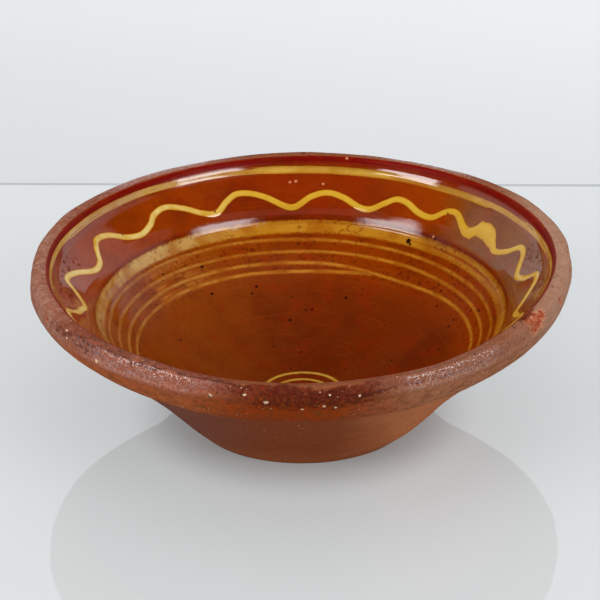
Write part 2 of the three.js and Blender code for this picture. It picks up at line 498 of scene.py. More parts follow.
class Graph:
    """The nodes of one material, under short names, and the place on the bowl that they colour."""

    def __init__(self, name: str) -> None:
        """Starts a material with an output, a main shader and the place in metres.

        Args:
            name: The material's name.
        """
        self.material = bpy.data.materials.new(name)
        self.material.use_nodes = True
        self.tree = self.material.node_tree
        self.tree.nodes.clear()
        self.output = self.node("OutputMaterial")
        self.shader = self.node("BsdfPrincipled")
        self.feed(self.output.inputs["Surface"], self.shader.outputs["BSDF"])
        self.place = Value(self, self.node("TexCoord").outputs["Object"])
        split = self.node("SeparateXYZ")
        self.feed(split.inputs[0], self.place)
        self.x, self.y, self.z = (Value(self, socket) for socket in split.outputs)
        self.radius = self.calc("SQRT", self.x * self.x + self.y * self.y)

    def node(self, kind: str) -> Node:
        """Adds a node of a kind."""
        return self.tree.nodes.new("ShaderNode" + kind)

    def feed(self, target: NodeSocket, value: object) -> None:
        """Sets a socket to a plain value, or joins another socket to it.

        Args:
            target: The socket that is set.
            value: A plain value, a socket or what some nodes work out.
        """
        if isinstance(value, Value):
            value = value.socket
        if isinstance(value, NodeSocket):
            self.tree.links.new(value, target)
        else:
            target.default_value = value

    def dress(self, node: Node, values: dict[str, object]) -> None:
        """Sets or joins some of a node's inputs, by name."""
        for name, value in values.items():
            self.feed(node.inputs[name], value)

    def carried(self, attribute: Attribute) -> Value:
        """Reads a value that the piece's points carry.

        Args:
            attribute: Which value.

        Returns:
            The value.
        """
        node = self.node("Attribute")
        node.attribute_name = attribute.value
        return Value(self, node.outputs["Fac"])

    def calc(self, operation: str, first: Number, second: Number = 0.0) -> Value:
        """One sum on one or two numbers.

        Args:
            operation: What is done, as the node calls it.
            first: The first number.
            second: The second number, where there is one.

        Returns:
            The result.
        """
        node = self.node("Math")
        node.operation = operation
        self.feed(node.inputs[0], first)
        self.feed(node.inputs[1], second)
        return Value(self, node.outputs[0])

    def joined(self, *numbers: Number) -> Value:
        """Makes a vector of three numbers.

        Args:
            numbers: The three numbers.

        Returns:
            The vector.
        """
        node = self.node("CombineXYZ")
        for target, number in zip(node.inputs, numbers):
            self.feed(target, number)
        return Value(self, node.outputs[0])

    def noise(self, scale: float, detail: float = 2.0, rough: float = 0.5, at: Value | None = None) -> Value:
        """Soft noise from 0 to 1.

        Args:
            scale: Waves per metre.
            detail: How many finer layers it has.
            rough: How strong the finer layers are.
            at: Where it is read, if not at the place itself.

        Returns:
            The noise.
        """
        node = self.node("TexNoise")
        self.dress(node, {"Vector": at or self.place, "Scale": scale, "Detail": detail, "Roughness": rough})
        return Value(self, node.outputs["Fac"])

    def drift(self, scale: float, size: float, detail: float = 3.0, rough: float = 0.5) -> Value:
        """Soft noise round 0, which spans a size in all."""
        return (self.noise(scale, detail, rough) - 0.5) * size

    def rings(self, across: float, around: float, rough: float = 0.6) -> Value:
        """Noise that runs in rings round the bowl, as throwing marks do.

        Args:
            across: Waves per metre up the wall and out from the axis.
            around: Waves per turn of one radian.
            rough: How strong its finer layers are.

        Returns:
            The noise, from 0 to 1.
        """
        climb = (self.radius + self.z) * across
        east = self.x / self.radius * around
        north = self.y / self.radius * around
        return self.noise(1.0, 4, rough, self.joined(climb, east, north))

    def cells(self, scale: float, at: Value | None = None) -> Value:
        """Finds how near the nearest of many scattered points is.

        Args:
            scale: Points per metre.
            at: Where it is read, if not at the place itself.

        Returns:
            The distance.
        """
        node = self.node("TexVoronoi")
        self.dress(node, {"Vector": at or self.place, "Scale": scale})
        return Value(self, node.outputs["Distance"])

    def mix(self, share: Number, first: Value | Colour, second: Value | Colour) -> Value:
        """A colour between two others.

        Args:
            share: How much of the second one shows.
            first: The colour where share is 0.
            second: The colour where share is 1.

        Returns:
            The mixed colour.
        """
        node = self.node("Mix")
        node.data_type = "RGBA"
        for socket, value in ((0, share), (6, first), (7, second)):
            self.feed(node.inputs[socket], value)
        return Value(self, node.outputs[2])

    def ramp(self, value: Value, stops: Sequence[tuple[float, Colour]]) -> Value:
        """Colours along a value.

        Args:
            value: The value, from 0 to 1.
            stops: Values, rising, each with its colour.

        Returns:
            The colour at the value.
        """
        node = self.node("ValToRGB")
        self.feed(node.inputs["Fac"], value)
        elements = node.color_ramp.elements
        elements[0].position, elements[0].color = stops[0]
        elements[1].position, elements[1].color = stops[-1]
        for position, colour in stops[1:-1]:
            elements.new(position).color = colour
        return Value(self, node.outputs["Color"])

    def bump(self, height: Value, distance: float, strength: Value) -> Value:
        """Makes a normal from a height.

        Args:
            height: The height, from 0 to 1.
            distance: The full height, in metres.
            strength: How much of it shows.

        Returns:
            The normal.
        """
        node = self.node("Bump")
        self.dress(node, {"Height": height, "Distance": distance, "Strength": strength})
        return Value(self, node.outputs["Normal"])

    def spots(self, marks: Sequence[Spot], ragged: Value) -> Value:
        """A mask that is 1 in the middle of every one of some spots.

        Args:
            marks: The spots.
            ragged: A value round 0 that frays the spots' edges.

        Returns:
            The mask, from 0 to 1.
        """
        mask: Number = 0.0
        for mark in marks:
            away = self.node("VectorMath")
            away.operation = "DISTANCE"
            self.feed(away.inputs[0], self.place)
            away.inputs[1].default_value = (mark.x * MM, mark.y * MM, mark.z * MM)
            share = Value(self, away.outputs["Value"]) / (mark.reach * MM)
            mask = (share + ragged).ease(1.15, 0.75).most(mask)
        return mask

    def show(self, share: Number, shader: NodeSocket) -> None:
        """Shows another shader in place of the main one.

        Args:
            share: Where the other one shows.
            shader: The other one.
        """
        both = self.node("MixShader")
        for socket, value in enumerate((share, self.shader.outputs["BSDF"], shader)):
            self.feed(both.inputs[socket], value)
        self.feed(self.output.inputs["Surface"], both.outputs[0])


@dataclass(frozen=True)
class Mark:
    """A small mark in the glaze: its bearing in degrees, and its radius and reach in millimetres."""

    bearing: float
    radius: float
    reach: float

    def on_face(self) -> Spot:
        """Finds the mark's place on the bowl's face."""
        point = FACE.at(FACE.distance_at_radius(self.radius * MM))[0]
        return spot(self.bearing, point.x / MM, point.y / MM, self.reach)


@dataclass(frozen=True)
class GlazeFinish:
    """Clear amber lead glaze over red clay, darker where it pools, with dark streaks of painted reflection on
    the flange.
    """

    floor: Colour = linear(93, 31, 0)
    wall: Colour = linear(112, 41, 0)
    edge_line: Colour = linear(84, 18, 0)
    flange: Colour = linear(113, 33, 0)
    flange_side: Colour = linear(122, 44, 0)
    flange_right: Colour = linear(106, 56, 10)
    wash: Colour = linear(156, 92, 32)
    left_glow: Colour = linear(116, 53, 5)
    cove: Colour = linear(112, 36, 0)
    lip: Colour = linear(98, 2, 0)
    crest: Colour = linear(114, 56, 30)
    # Darker glaze where it pools; also the colour of the painted dark reflection streaks.
    pooled_and_reflection_dark: Colour = linear(72, 17, 1)
    bright: Colour = linear(132, 56, 6)
    blotch: Colour = linear(116, 24, 0)
    # Pinholes painted near black: painted shade in the holes.
    pinhole_shade: Colour = linear(34, 8, 4)
    # Pale marks where small glaze beads sit: partly painted glints.
    bead_glint: Colour = linear(178, 116, 84)
    roughness: float = 0.06
    pits: tuple[Mark, ...] = (
        Mark(54.4, 105.0, 1.6), Mark(53.4, 103.9, 0.8), Mark(45.8, 108.2, 0.7), Mark(42.0, 106.1, 0.7),
        Mark(45.6, 118.8, 0.7), Mark(115.2, 113.5, 0.6), Mark(133.8, 122.4, 0.5), Mark(146.6, 117.4, 0.6),
        Mark(125.8, 94.6, 0.9), Mark(141.4, 98.0, 0.7), Mark(143.0, 95.8, 0.5), Mark(127.6, 81.8, 0.9),
        Mark(108.2, 80.2, 0.9), Mark(15.4, 85.6, 0.8), Mark(14.2, 82.2, 0.9), Mark(34.0, 89.0, 0.6),
        Mark(111.0, 77.0, 0.7), Mark(70.0, 74.0, 0.9), Mark(96.0, 60.0, 0.9), Mark(300, 44, 0.9),
        Mark(212, 46, 0.9), Mark(250, 38, 1.0), Mark(180, 30, 0.8), Mark(20, 52, 0.8),
    )
    beads: tuple[Mark, ...] = (
        Mark(92.6, 123.1, 0.8), Mark(91.0, 123.4, 0.9), Mark(83.7, 122.3, 0.8), Mark(46.6, 108.6, 0.9),
        Mark(78.0, 131.5, 0.9), Mark(150.0, 125.0, 0.5), Mark(60.0, 119.5, 0.5),
    )

    def marks(self, graph: Graph, marks: Sequence[Mark]) -> Value:
        """A mask for some marks on the glaze."""
        return graph.spots([mark.on_face() for mark in marks], graph.noise(900) - 0.5)

    def stops(self) -> list[tuple[float, Colour]]:
        """Places the glaze's colours along the radius.

        Returns:
            Shares of the rim's radius, each with its colour.
        """
        places = [
            (0.0, self.floor), (76, self.floor), (90, self.wall), (106, self.wall), (107.8, self.edge_line),
            (110, self.flange), (126, self.flange), (128.5, self.cove), (129.6, self.cove), (130.6, self.lip),
            (132.0, self.lip), (132.7, self.cove), (133.4, self.crest), (140, self.crest),
        ]
        return [(radius * MM / RIM_RADIUS, colour) for radius, colour in places]

    def colour(self, graph: Graph) -> Value:
        """Colours the glaze from the place alone, so that pieces that meet show one colour.

        Args:
            graph: The material that it is for.

        Returns:
            The colour at each place.
        """
        base = graph.ramp(graph.radius / RIM_RADIUS + graph.drift(190, 0.011), self.stops())
        base = self.washed(graph, self.sides(graph, base))
        base = base.mixed(graph.noise(30, 5, 0.62).ease(0.42, 0.72) * 0.5, self.pooled_and_reflection_dark)
        base = base.mixed(graph.rings(380, 3.0).ease(0.5, 0.85) * 0.35, self.bright)
        # Painted reflection: dark streaks where the flange's reflection breaks.
        base = self.mottled(graph, base).mixed(self.reflection_streaks(graph) * 0.7, self.pooled_and_reflection_dark)
        # Small glaze beads, painted pale: partly painted glints.
        base = base.mixed(self.marks(graph, self.beads) * 0.7, self.bead_glint)
        return base.mixed(self.marks(graph, self.pits), self.pinhole_shade)

    def sides(self, graph: Graph, base: Value) -> Value:
        """Turns the flange more orange to the sides, and the well paler on the left.

        Args:
            graph: The material that it is for.
            base: The colour so far.

        Returns:
            The turned colour.
        """
        side = graph.x + graph.drift(40, 0.04)
        flange = graph.radius.band(108, 110, 127, 129)
        base = base.mixed(flange * abs(side).ease_mm(30, 80), self.flange_side)
        base = base.mixed(flange * side.ease_mm(72, 98), self.flange_right)
        left = graph.radius.ease_mm(108, 104) * side.ease_mm(15, -75)
        return base.mixed(left * 0.7, self.left_glow)

    def washed(self, graph: Graph, base: Value) -> Value:
        """Smears thin slip along the wall on the left, between the trailed lines.

        Args:
            graph: The material that it is for.
            base: The colour so far.

        Returns:
            The colour with the smear.
        """
        turned = graph.calc("ARCTAN2", graph.y, graph.x) + graph.drift(60, 0.5)
        around = turned.ease(2.0, 2.25) * turned.ease(2.68, 2.45)
        smear = around * graph.radius.band(84, 89, 98, 103) * graph.rings(260, 2.5).ease(0.4, 0.66)
        return base.mixed(smear * 0.7, self.wash)

    def reflection_streaks(self, graph: Graph) -> Value:
        """A mask for the dark, ragged streaks high on the flange at either side: painted breaks in its
        reflection.
        """
        side = abs(graph.x).ease_mm(113, 119) * graph.y.ease_mm(34, 20)
        return side * graph.radius.band(116, 121, 126.5, 128) * graph.rings(300, 40.0, 0.7).ease(0.5, 0.62)

    def mottled(self, graph: Graph, base: Value) -> Value:
        """Breaks the colour up with fine blotches, most of all under the shoulder, and with pinholes.

        Args:
            graph: The material that it is for.
            base: The colour so far.

        Returns:
            The mottled colour.
        """
        base = base.mixed(graph.noise(95, 4, 0.62).ease(0.5, 0.64) * 0.3, self.blotch)
        fleck = graph.noise(330, 4, 0.7).ease(0.52, 0.66)
        base = base.mixed(fleck * (graph.radius.band(80, 90, 107, 109) * 0.5 + 0.22), self.pooled_and_reflection_dark)
        hole = graph.cells(170).ease(0.2, 0.09)
        few = graph.noise(45).ease(0.54, 0.62) * (graph.radius.ease_mm(106, 96) * 0.65 + 0.2)
        return base.mixed(hole * few, self.pinhole_shade)

    def surface(self, graph: Graph, colour: Value) -> None:
        """Gives the shader the glaze's gloss and its fine skin.

        Args:
            graph: The material that it is for.
            colour: Its colour.
        """
        radius, x = graph.radius, graph.x
        dull = radius.ease_mm(129.8, 130.6)
        soft = radius.ease_mm(103, 78)
        inner = radius.ease_mm(110.5, 108.5) * x.ease_mm(68, 88)
        worn = (radius.ease_mm(107, 103.5) * x.ease_mm(0, 70)).most(inner)
        cove = radius.band(126.5, 127.5, 129.4, 130.2)
        rough = graph.noise(60, 4).ease(0.5, 0.9) * 0.1 + dull * 0.28 + soft * 0.26 + cove * 0.03
        level = 0.5 - radius.ease_mm(105, 98) * 0.24 - soft * 0.23 - worn * 0.42 - dull * 0.46
        # The painted reflection streaks also get less gloss.
        level = level - self.reflection_streaks(graph) * 0.5 + cove * 0.22
        skin = graph.noise(260) + graph.noise(1100, 2, 0.6)
        brow = radius.band(105, 107, 110.5, 113)
        strength = (radius.ease_mm(110, 107) * 0.65 + 0.35) * 0.3 + brow * 0.2
        graph.dress(graph.shader, {
            "Base Color": colour, "Roughness": rough + self.roughness, "IOR": 1.42,
            "Specular IOR Level": level.most(0.02), "Normal": graph.bump(skin, 0.15 * MM, strength),
        })

    def material(self) -> Material:
        """Makes the glaze's material.

        Returns:
            The material.
        """
        graph = Graph("lead_glaze")
        self.surface(graph, self.colour(graph))
        return graph.material


@dataclass(frozen=True)
class SlipFinish:
    """Pale slip under the glaze: yellow where it is thick, amber where it is thin."""

    name: str
    thick: Colour
    thin: Colour
    pale: Colour
    half_width: float
    softness: float
    ragged: float
    cover: float
    broken: float = 0.0
    glaze: GlazeFinish = GlazeFinish()

    def material(self) -> Material:
        """Makes the slip's material, which turns to the plain glaze at the trail's edges.

        Returns:
            The material.
        """
        graph = Graph(self.name)
        across = abs(graph.carried(Attribute.ACROSS)) / self.half_width
        edge = across + graph.drift(620, self.ragged * 1.3, 4, 0.7)
        mask = edge.ease(1 + self.softness, 1 - self.softness)
        core = edge.ease(1.0, 0.35) * graph.noise(75, 4, 0.6).ease(0.3, 0.62)
        tone = graph.mix(graph.x.ease_mm(-25, -80), self.thick, self.pale)
        tone = graph.mix(core, self.thin, tone)
        gaps = graph.noise(300, 4, 0.7).ease(0.5, 0.62) * graph.noise(40).ease(0.4, 0.6)
        kept = (self.cover - gaps * self.broken) * graph.carried(Attribute.COVER)
        colour = self.glaze.colour(graph).mixed(mask * kept, tone)
        colour = colour.mixed(self.glaze.marks(graph, self.glaze.pits), self.glaze.pinhole_shade)
        self.glaze.surface(graph, colour)
        return graph.material


class ClayGraph(Graph):
    """The nodes of the clay, with the heights that its colours follow and the holes in it."""

    def __init__(self, name: str) -> None:
        """Adds to a new material how far up and how far to the side each place counts as.

        Args:
            name: The material's name.
        """
        super().__init__(name)
        self.level = self.carried(Attribute.LEVEL)
        self.side = self.x + self.drift(20, 0.05, 5, 0.62)
        self.zone = self.level + self.drift(70, 0.014, 5, 0.66)
        hole = self.cells(300, self.joined(self.z, self.x, self.y)).ease(0.22, 0.1)
        some = self.noise(60, 1, at=self.joined(self.y, self.z, self.x)).ease(0.48, 0.6)
        self.holes = hole * some * self.level.ease_mm(60, 66)

    def sideways(self, shades: Shades) -> Value:
        """Makes a colour that goes from left to right through the bowl's front.

        Args:
            shades: The three colours.

        Returns:
            The colour.
        """
        left, middle, right = shades
        colour = self.mix(self.side.ease_mm(-18, -62), middle, left)
        return colour.mixed(self.side.ease_mm(14, 62), right)


@dataclass(frozen=True)
class ClayFinish:
    """Fired red clay, bare below the rim and thinly glazed over it, with chips of raw clay.

    Attributes:
        wall: The bare wall, as all shades of three here on the left, in the middle and on the right. These
            shades, here and below, are partly the clay's own tone and partly painted light: lighter to the
            right and sides, darker in front.
        collar: Low on the rim.
        belt: Round its widest part.
        crown: Over that.
        crest: The top of the rim.
    """

    # Shades from left to right: partly painted light, with the right and sides lit and the front shaded.
    wall: Shades = shades((118, 70, 57), (130, 64, 32), (178, 109, 68))
    collar: Shades = shades((164, 84, 42), (142, 52, 0), (156, 100, 70))
    belt: Shades = shades((146, 78, 50), (112, 46, 10), (134, 82, 56))
    crown: Shades = shades((130, 70, 50), (96, 38, 18), (118, 70, 50))
    crest: Shades = shades((122, 62, 40), (118, 66, 40), (118, 66, 40))
    streak: Colour = linear(104, 52, 36)
    # Painted light for the lowest part of the wall.
    foot: Colour = linear(160, 92, 54)
    olive: Colour = linear(100, 58, 22)
    worn_edge_and_sheen: Colour = linear(156, 122, 100)
    dust_and_sheen: Colour = linear(142, 100, 84)
    maroon: Colour = linear(70, 22, 12)
    red: Colour = linear(136, 34, 12)
    raw: Colour = linear(150, 86, 60)
    raw_dark: Colour = linear(128, 52, 30)
    chip_edge_highlight: Colour = linear(170, 116, 84)
    pale: Colour = linear(204, 176, 144)
    shade: Colour = linear(74, 34, 20)
    # Painted shade, for the neck line and the holes.
    pit_and_neck_shade: Colour = linear(52, 22, 14)
    roughness: float = 0.75
    grains: tuple[Spot, ...] = (
        spot(252.0, 140.0, 81.0, 0.8), spot(258.8, 140.0, 83.1, 0.8), spot(263.0, 139.7, 79.8, 1.0),
        spot(270.0, 136.9, 74.9, 0.7), spot(274.2, 138.2, 77.0, 0.9), spot(276.5, 137.3, 75.5, 0.8),
        spot(225.0, 140.3, 81.9, 0.9), spot(215.2, 140.7, 85.2, 0.7), spot(214.5, 139.5, 88.3, 0.6),
        spot(275.2, 140.0, 83.8, 0.6), spot(281.0, 140.1, 82.3, 0.6), spot(243.5, 129.1, 65.3, 0.7),
        spot(259.0, 98.0, 40.0, 0.7), spot(269.0, 106.0, 48.8, 0.5), spot(240.0, 133.0, 70.0, 0.5),
    )

    def below(self, graph: ClayGraph) -> Value:
        """Colours the bare wall, darker on one side than on the other: partly its own tone, partly painted
        light, lighter on the right where the light falls.
        """
        colour = graph.sideways(self.wall).mixed(graph.rings(500, 2.0).ease(0.45, 0.8) * 0.45, self.streak)
        # Painted light: the wall is lighter near the foot, as if lit from the table.
        return colour.mixed(graph.z.ease_mm(18, 3) * 0.4, self.foot)

    def rim(self, graph: ClayGraph) -> Value:
        """Colours the rim: orange low on its collar, darker round its widest part, pale on its crest.

        Args:
            graph: The material that it is for.

        Returns:
            The colour of the rim.
        """
        mottle = graph.noise(210, 5, 0.68).ease(0.46, 0.6)
        colour = graph.sideways(self.collar).mixed(mottle * 0.55, self.olive)
        for tone, low, high in ((self.belt, 76, 81), (self.crown, 83, 85.5), (self.crest, 90, 91.2)):
            colour = colour.mixed(graph.zone.ease_mm(low, high), graph.sideways(tone))
        # Paler far sides and right edge: partly painted sheen where the rim turns away.
        far = abs(graph.side).ease_mm(106, 136)
        colour = colour.mixed(far * (mottle + 0.4), self.dust_and_sheen)
        colour = colour.mixed(graph.side.ease_mm(96, 126) * 0.55, self.worn_edge_and_sheen)
        return self.lined(graph, self.burnt(graph, colour))

    def lined(self, graph: ClayGraph, colour: Value) -> Value:
        """Draws the dark, uneven fold that runs along the rim, high up on the left and lower on the right;
        its dark line is partly painted shade in the crease.

        Args:
            graph: The material that it is for.
            colour: The colour so far.

        Returns:
            The colour with the fold.
        """
        height = 91.5 * MM - graph.side.ease_mm(-40, 10) * (5.6 * MM)
        front = graph.y.ease_mm(-60, -90) * graph.x.ease_mm(82, 60)
        breaks = graph.noise(70, 4, 0.7).ease(0.4, 0.56)
        mask = abs(graph.zone - height).ease_mm(1.1, 0.2) * (front * breaks)
        # The fold's dark line: partly painted shade in the crease.
        return colour.mixed(mask * 0.85, self.maroon)

    def burnt(self, graph: ClayGraph, colour: Value) -> Value:
        """Pits the rim with maroon patches and bright red specks, most of all in front and far left.

        Args:
            graph: The material that it is for.
            colour: The colour so far.

        Returns:
            The pitted colour.
        """
        front = abs(graph.side - 2 * MM).ease_mm(52, 16)
        left = abs(graph.side + 112 * MM).ease_mm(26, 10) * graph.zone.ease_mm(85, 88)
        where = front.most(left) * 0.2
        patch = (graph.noise(330, 5, 0.78) + where).ease(0.62, 0.7) * graph.zone.band(73, 78, 89, 91.5)
        colour = colour.mixed(patch * 0.75, self.maroon)
        near = (graph.noise(110) + where).ease(0.6, 0.74)
        specks = graph.noise(430, 4, 0.7).ease(0.58, 0.68) * near * graph.zone.ease_mm(72, 78)
        return colour.mixed(specks * 0.8, self.red)

    def chips(self, graph: ClayGraph, colour: Value) -> Value:
        """Shows raw, gritty clay where the rim is chipped, with painted glints and a partly painted highlight
        on its edge.

        Args:
            graph: The material that it is for.
            colour: The colour so far.

        Returns:
            The colour with the chips.
        """
        grit = graph.noise(520, 4, 0.7)
        raw = graph.mix(grit.ease(0.45, 0.6), self.raw, self.raw_dark)
        # Pale grains in the raw clay: painted glints.
        grain = graph.cells(430).ease(0.26, 0.12) * graph.noise(240, 1).ease(0.5, 0.6)
        raw = raw.mixed(grain * 0.8, self.pale)
        chipped = graph.carried(Attribute.CHIP) + (grit - 0.5) * 1.6
        edge = chipped.ease(0.2, 0.35) * chipped.ease(0.7, 0.5)
        # The pale ring at the chip's edge: partly painted highlight on the broken edge.
        return colour.mixed(chipped.ease(0.4, 0.6), raw).mixed(edge * 0.5, self.chip_edge_highlight)

    def grit(self, graph: ClayGraph, colour: Value) -> Value:
        """Adds pale specks, holes darkened with painted shade, and the larger grains that show in the clay.

        Args:
            graph: The material that it is for.
            colour: The colour so far.

        Returns:
            The gritty colour.
        """
        dust = graph.noise(1150, 2, 0.6)
        colour = colour.mixed(dust.ease(0.52, 0.66) * 0.4, self.shade)
        # Paler specks to either side of the front: partly painted sheen.
        light = dust.ease(0.45, 0.33) * graph.level.ease_mm(58, 66)
        colour = colour.mixed(light * (abs(graph.x).ease_mm(20, 75) * 0.32), self.dust_and_sheen)
        speck = graph.cells(300).ease(0.15, 0.07) * graph.noise(80, 1).ease(0.5, 0.62)
        # The holes are darkened with painted shade.
        colour = colour.mixed(speck * 0.6, self.pale).mixed(graph.holes * 0.75, self.pit_and_neck_shade)
        return colour.mixed(graph.spots(self.grains, graph.drift(1300, 2.4, 1)) * 0.85, self.pale)

    def skin(self, graph: ClayGraph) -> None:
        """Gives the clay its grain, and the crown of the rim a pitted gloss to either side of the front.

        Args:
            graph: The material that it is for.
        """
        x, level = graph.x, graph.level
        patches = graph.noise(30, 3).ease(0.3, 0.5) * 0.65
        for middle, reach in ((-76, 34), (72, 30)):
            patches = patches.most(abs(x - middle * MM).ease_mm(reach, reach * 0.5) * 1.4)
        crest = level.ease_mm(90, 91.5) * graph.y.ease_mm(20, -20)
        gloss = level.ease_mm(79, 84) * graph.calc("MINIMUM", patches, 1.25) * (1.0 - crest * 0.85)
        sheen = (abs(x).ease_mm(22, 48) * 0.94 + 0.06) * x.band(-120, -104, 88, 108)
        gloss = gloss * sheen * graph.carried(Attribute.CHIP).ease(0.5, 0.3)
        coarse = graph.noise(620, 3, 0.6)
        glint = gloss * (coarse.ease(0.42, 0.6) * 1.15 + 0.1)
        fine = graph.noise(860, 4, 0.62) * (1.0 - gloss * 0.85)
        grain = fine + coarse * (gloss * 0.62) + graph.holes * -0.6
        strength = level.ease_mm(60, 76) * 0.55 + 0.45
        graph.dress(graph.shader, {
            "Roughness": self.roughness - gloss * 0.55, "IOR": 1.5, "Specular IOR Level": glint + 0.03,
            "Normal": graph.bump(grain, 0.85 * MM, strength),
        })

    def material(self) -> Material:
        """Makes the clay's material.

        Returns:
            The material.
        """
        graph = ClayGraph("red_clay")
        colour = graph.mix(graph.level.ease_mm(56.8, 58.2), self.below(graph), self.rim(graph))
        # A dark line along the neck under the collar's overhang: painted shade.
        neck = abs(graph.level - 57.7 * MM).ease_mm(1.3, 0.2) * graph.noise(50, 3).ease(0.3, 0.55)
        colour = colour.mixed(neck * graph.x.ease_mm(60, 30) * 0.6, self.pit_and_neck_shade)
        colour = self.chips(graph, self.grit(graph, colour))
        graph.feed(graph.shader.inputs["Base Color"], colour)
        self.skin(graph)
        return graph.material


@dataclass(frozen=True)
class Chip:
    """A place on the rim where the clay is knocked off."""

    bearing: float
    radius: float
    height: float
    size: float
    depth: float

    @property
    def place(self) -> Vector:
        """The middle of the chip."""
        turn = math.radians(self.bearing)
        return Vector((self.radius * math.cos(turn), self.radius * math.sin(turn), self.height))


@dataclass(frozen=True)
class ClayBody:
    """The thrown body: flat base, sloping wall, folded rim with its collar, and the hidden lining.

    Attributes:
        base_radius: Radius of the flat base.
        base_edge: How far its edge is eased.
        neck: Radius and height of the neck, where the wall meets the collar.
        wall_hollow: How far the wall is hollowed between base and neck.
        collar_step: How far the collar starts outside the neck.
        collar_power: How full the collar's curve is.
        lining_depth: How far the hidden clay lies under the glazed face.
        seat_depth: How far it lies under the glaze's edge.
        glaze_edge: Radius at which the clay comes out from under the glaze.
        outside_slack: How far inside the wall's straight line a point still counts as outside.
        chips: Where clay is knocked off.
        neck_lifts: Bearings, with how many millimetres the neck is raised there.
        wall_swells: Bearings, with how many millimetres the wall stands out there.
    """

    base_radius: float = 60.6 * MM
    base_edge: float = 0.8 * MM
    neck: tuple[float, float] = (115.4 * MM, 57.5 * MM)
    wall_hollow: float = 0.9 * MM
    collar_step: float = 0.7 * MM
    collar_power: float = 1.4
    lining_depth: float = 1.2 * MM
    seat_depth: float = 0.2 * MM
    glaze_edge: float = 132.6 * MM
    outside_slack: float = 3 * MM
    wall_steps: int = 72
    collar_steps: int = 34
    seat_steps: int = 26
    spacing: float = 0.7 * MM
    steps: int = 600
    chips: tuple[Chip, ...] = (
        Chip(326.2, 138.6 * MM, 91.4 * MM, 10.2 * MM, 1.9 * MM),
        Chip(359.0, 139.4 * MM, 89.5 * MM, 3.2 * MM, 0.8 * MM),
        Chip(352.0, 139.8 * MM, 87.5 * MM, 2.6 * MM, 0.7 * MM),
        Chip(338.0, 139.8 * MM, 87.5 * MM, 2.8 * MM, 0.7 * MM),
        Chip(206.0, 139.6 * MM, 87.0 * MM, 2.2 * MM, 0.5 * MM),
        Chip(122.0, 139.3 * MM, 89.0 * MM, 3.0 * MM, 0.8 * MM),
        Chip(31.0, 139.6 * MM, 88.0 * MM, 2.4 * MM, 0.6 * MM),
    )

    neck_lifts: Knots = (
        (200, 2.0), (225, 2.8), (236, 2.2), (250, 0.2), (295, 0), (312, 2.4), (326, 2.0), (338, 1.2),
        (400, 1.6),
    )
    wall_swells: Knots = (
        (200, 0.8), (236, 1.5), (250, 0.6), (268, 0.4), (285, 1.4), (312, 3.3), (345, 3.4), (385, 0.5),
    )

    def outline(self) -> list[Vector]:
        """Draws the body from the middle of its base, round the outside and back along the lining.

        Returns:
            The points, as radius and height.
        """
        inner = self.base_radius - self.base_edge
        flat = (0, self.base_radius * 0.5, inner - self.base_edge, inner)
        foot = Vector((self.base_radius, self.base_edge))
        neck = Vector(self.neck)
        points = [Vector((radius, 0)) for radius in flat] + [foot]
        for i in range(1, self.wall_steps + 1):
            part = i / self.wall_steps
            hollow = self.wall_hollow * math.sin(math.pi * part)
            points.append(foot.lerp(neck, part) + Vector((-hollow, hollow)))
        start = neck.x + self.collar_step
        rise = INSIDE.widest_height - neck.y
        for i in range(self.collar_steps):
            turn = math.pi / 2 * i / self.collar_steps
            reach = math.sin(turn) ** self.collar_power
            drop = math.cos(turn) ** self.collar_power
            points.append(Vector((start + (RIM_RADIUS - start) * reach, neck.y + rise * (1 - drop))))
        edge = FACE.distance_at_radius(self.glaze_edge)
        points += reversed(FACE.sample(edge, FACE.length, self.spacing))
        points += self.seat(edge)
        return points

    def seat(self, edge: float) -> list[Vector]:
        """Draws the clay under the glaze, from the glaze's edge in to the middle of the floor.

        Args:
            edge: How far along the face the glaze ends.

        Returns:
            The points, as radius and height.
        """
        points = []
        for back, depth in ((1, self.seat_depth), (3, self.seat_depth), (5, self.lining_depth)):
            point, normal = FACE.at(edge - back * MM)
            points.append(point - normal * depth)
        for i in range(1, self.seat_steps + 1):
            point, normal = FACE.at((edge - 5 * MM) * (1 - i / self.seat_steps))
            sunk = point - normal * self.lining_depth
            points.append(Vector((0.0 if i == self.seat_steps else sunk.x, sunk.y)))
        return points

    def bulged(self, place: Vector) -> Vector:
        """Raises the neck to the sides and lets the wall bulge below it on the right.

        Args:
            place: A place on the evenly turned outside.

        Returns:
            Where it lies on the hand-thrown one.
        """
        bearing = math.atan2(place.y, place.x)
        lift = knotted(self.neck_lifts, bearing) * MM
        swell = knotted(self.wall_swells, bearing) * MM
        climb = lift * smooth(place.z, 24 * MM, 57 * MM) * (1 - smooth(place.z, 58 * MM, 80 * MM))
        fading = (0.42 + 0.58 * smooth(place.z, 0, 9 * MM)) * (1 - 0.36 * smooth(place.z, 14 * MM, 30 * MM))
        fading *= 1 - smooth(place.z, 48 * MM, 78 * MM)
        out = climb * (1 - 0.3 * smooth(place.z, 57 * MM, 64 * MM)) + swell * fading
        away = Vector((math.cos(bearing), math.sin(bearing), 0)) * out
        return place + away + Vector((0, 0, climb))

    def roughen(self, place: Vector) -> float:
        """How far the clay stands off its smooth outline.

        Args:
            place: A place on the outside.

        Returns:
            The distance, outwards.
        """
        bearing = math.atan2(place.y, place.x)
        around = Vector((0.0, 1.3 * math.cos(bearing), 1.3 * math.sin(bearing)))
        ribs = noise.noise(around + Vector((place.z * 420, 0, 0)))
        fine = noise.noise(around * 1.6 + Vector((place.z * 1300, 7, 0)))
        lumps = noise.noise(place * 55)
        grain = noise.noise(place * 330)
        collar = smooth(place.z, 57.5 * MM, 62 * MM)
        wall = MM * (0.12 * ribs + 0.06 * fine + 0.15 * lumps + 0.04 * grain)
        rim = MM * (0.05 * ribs + 0.04 * fine + 0.2 * lumps + 0.09 * grain)
        return (wall * (1 - collar) + rim * collar) * smooth(place.z, 1.2 * MM, 5 * MM)

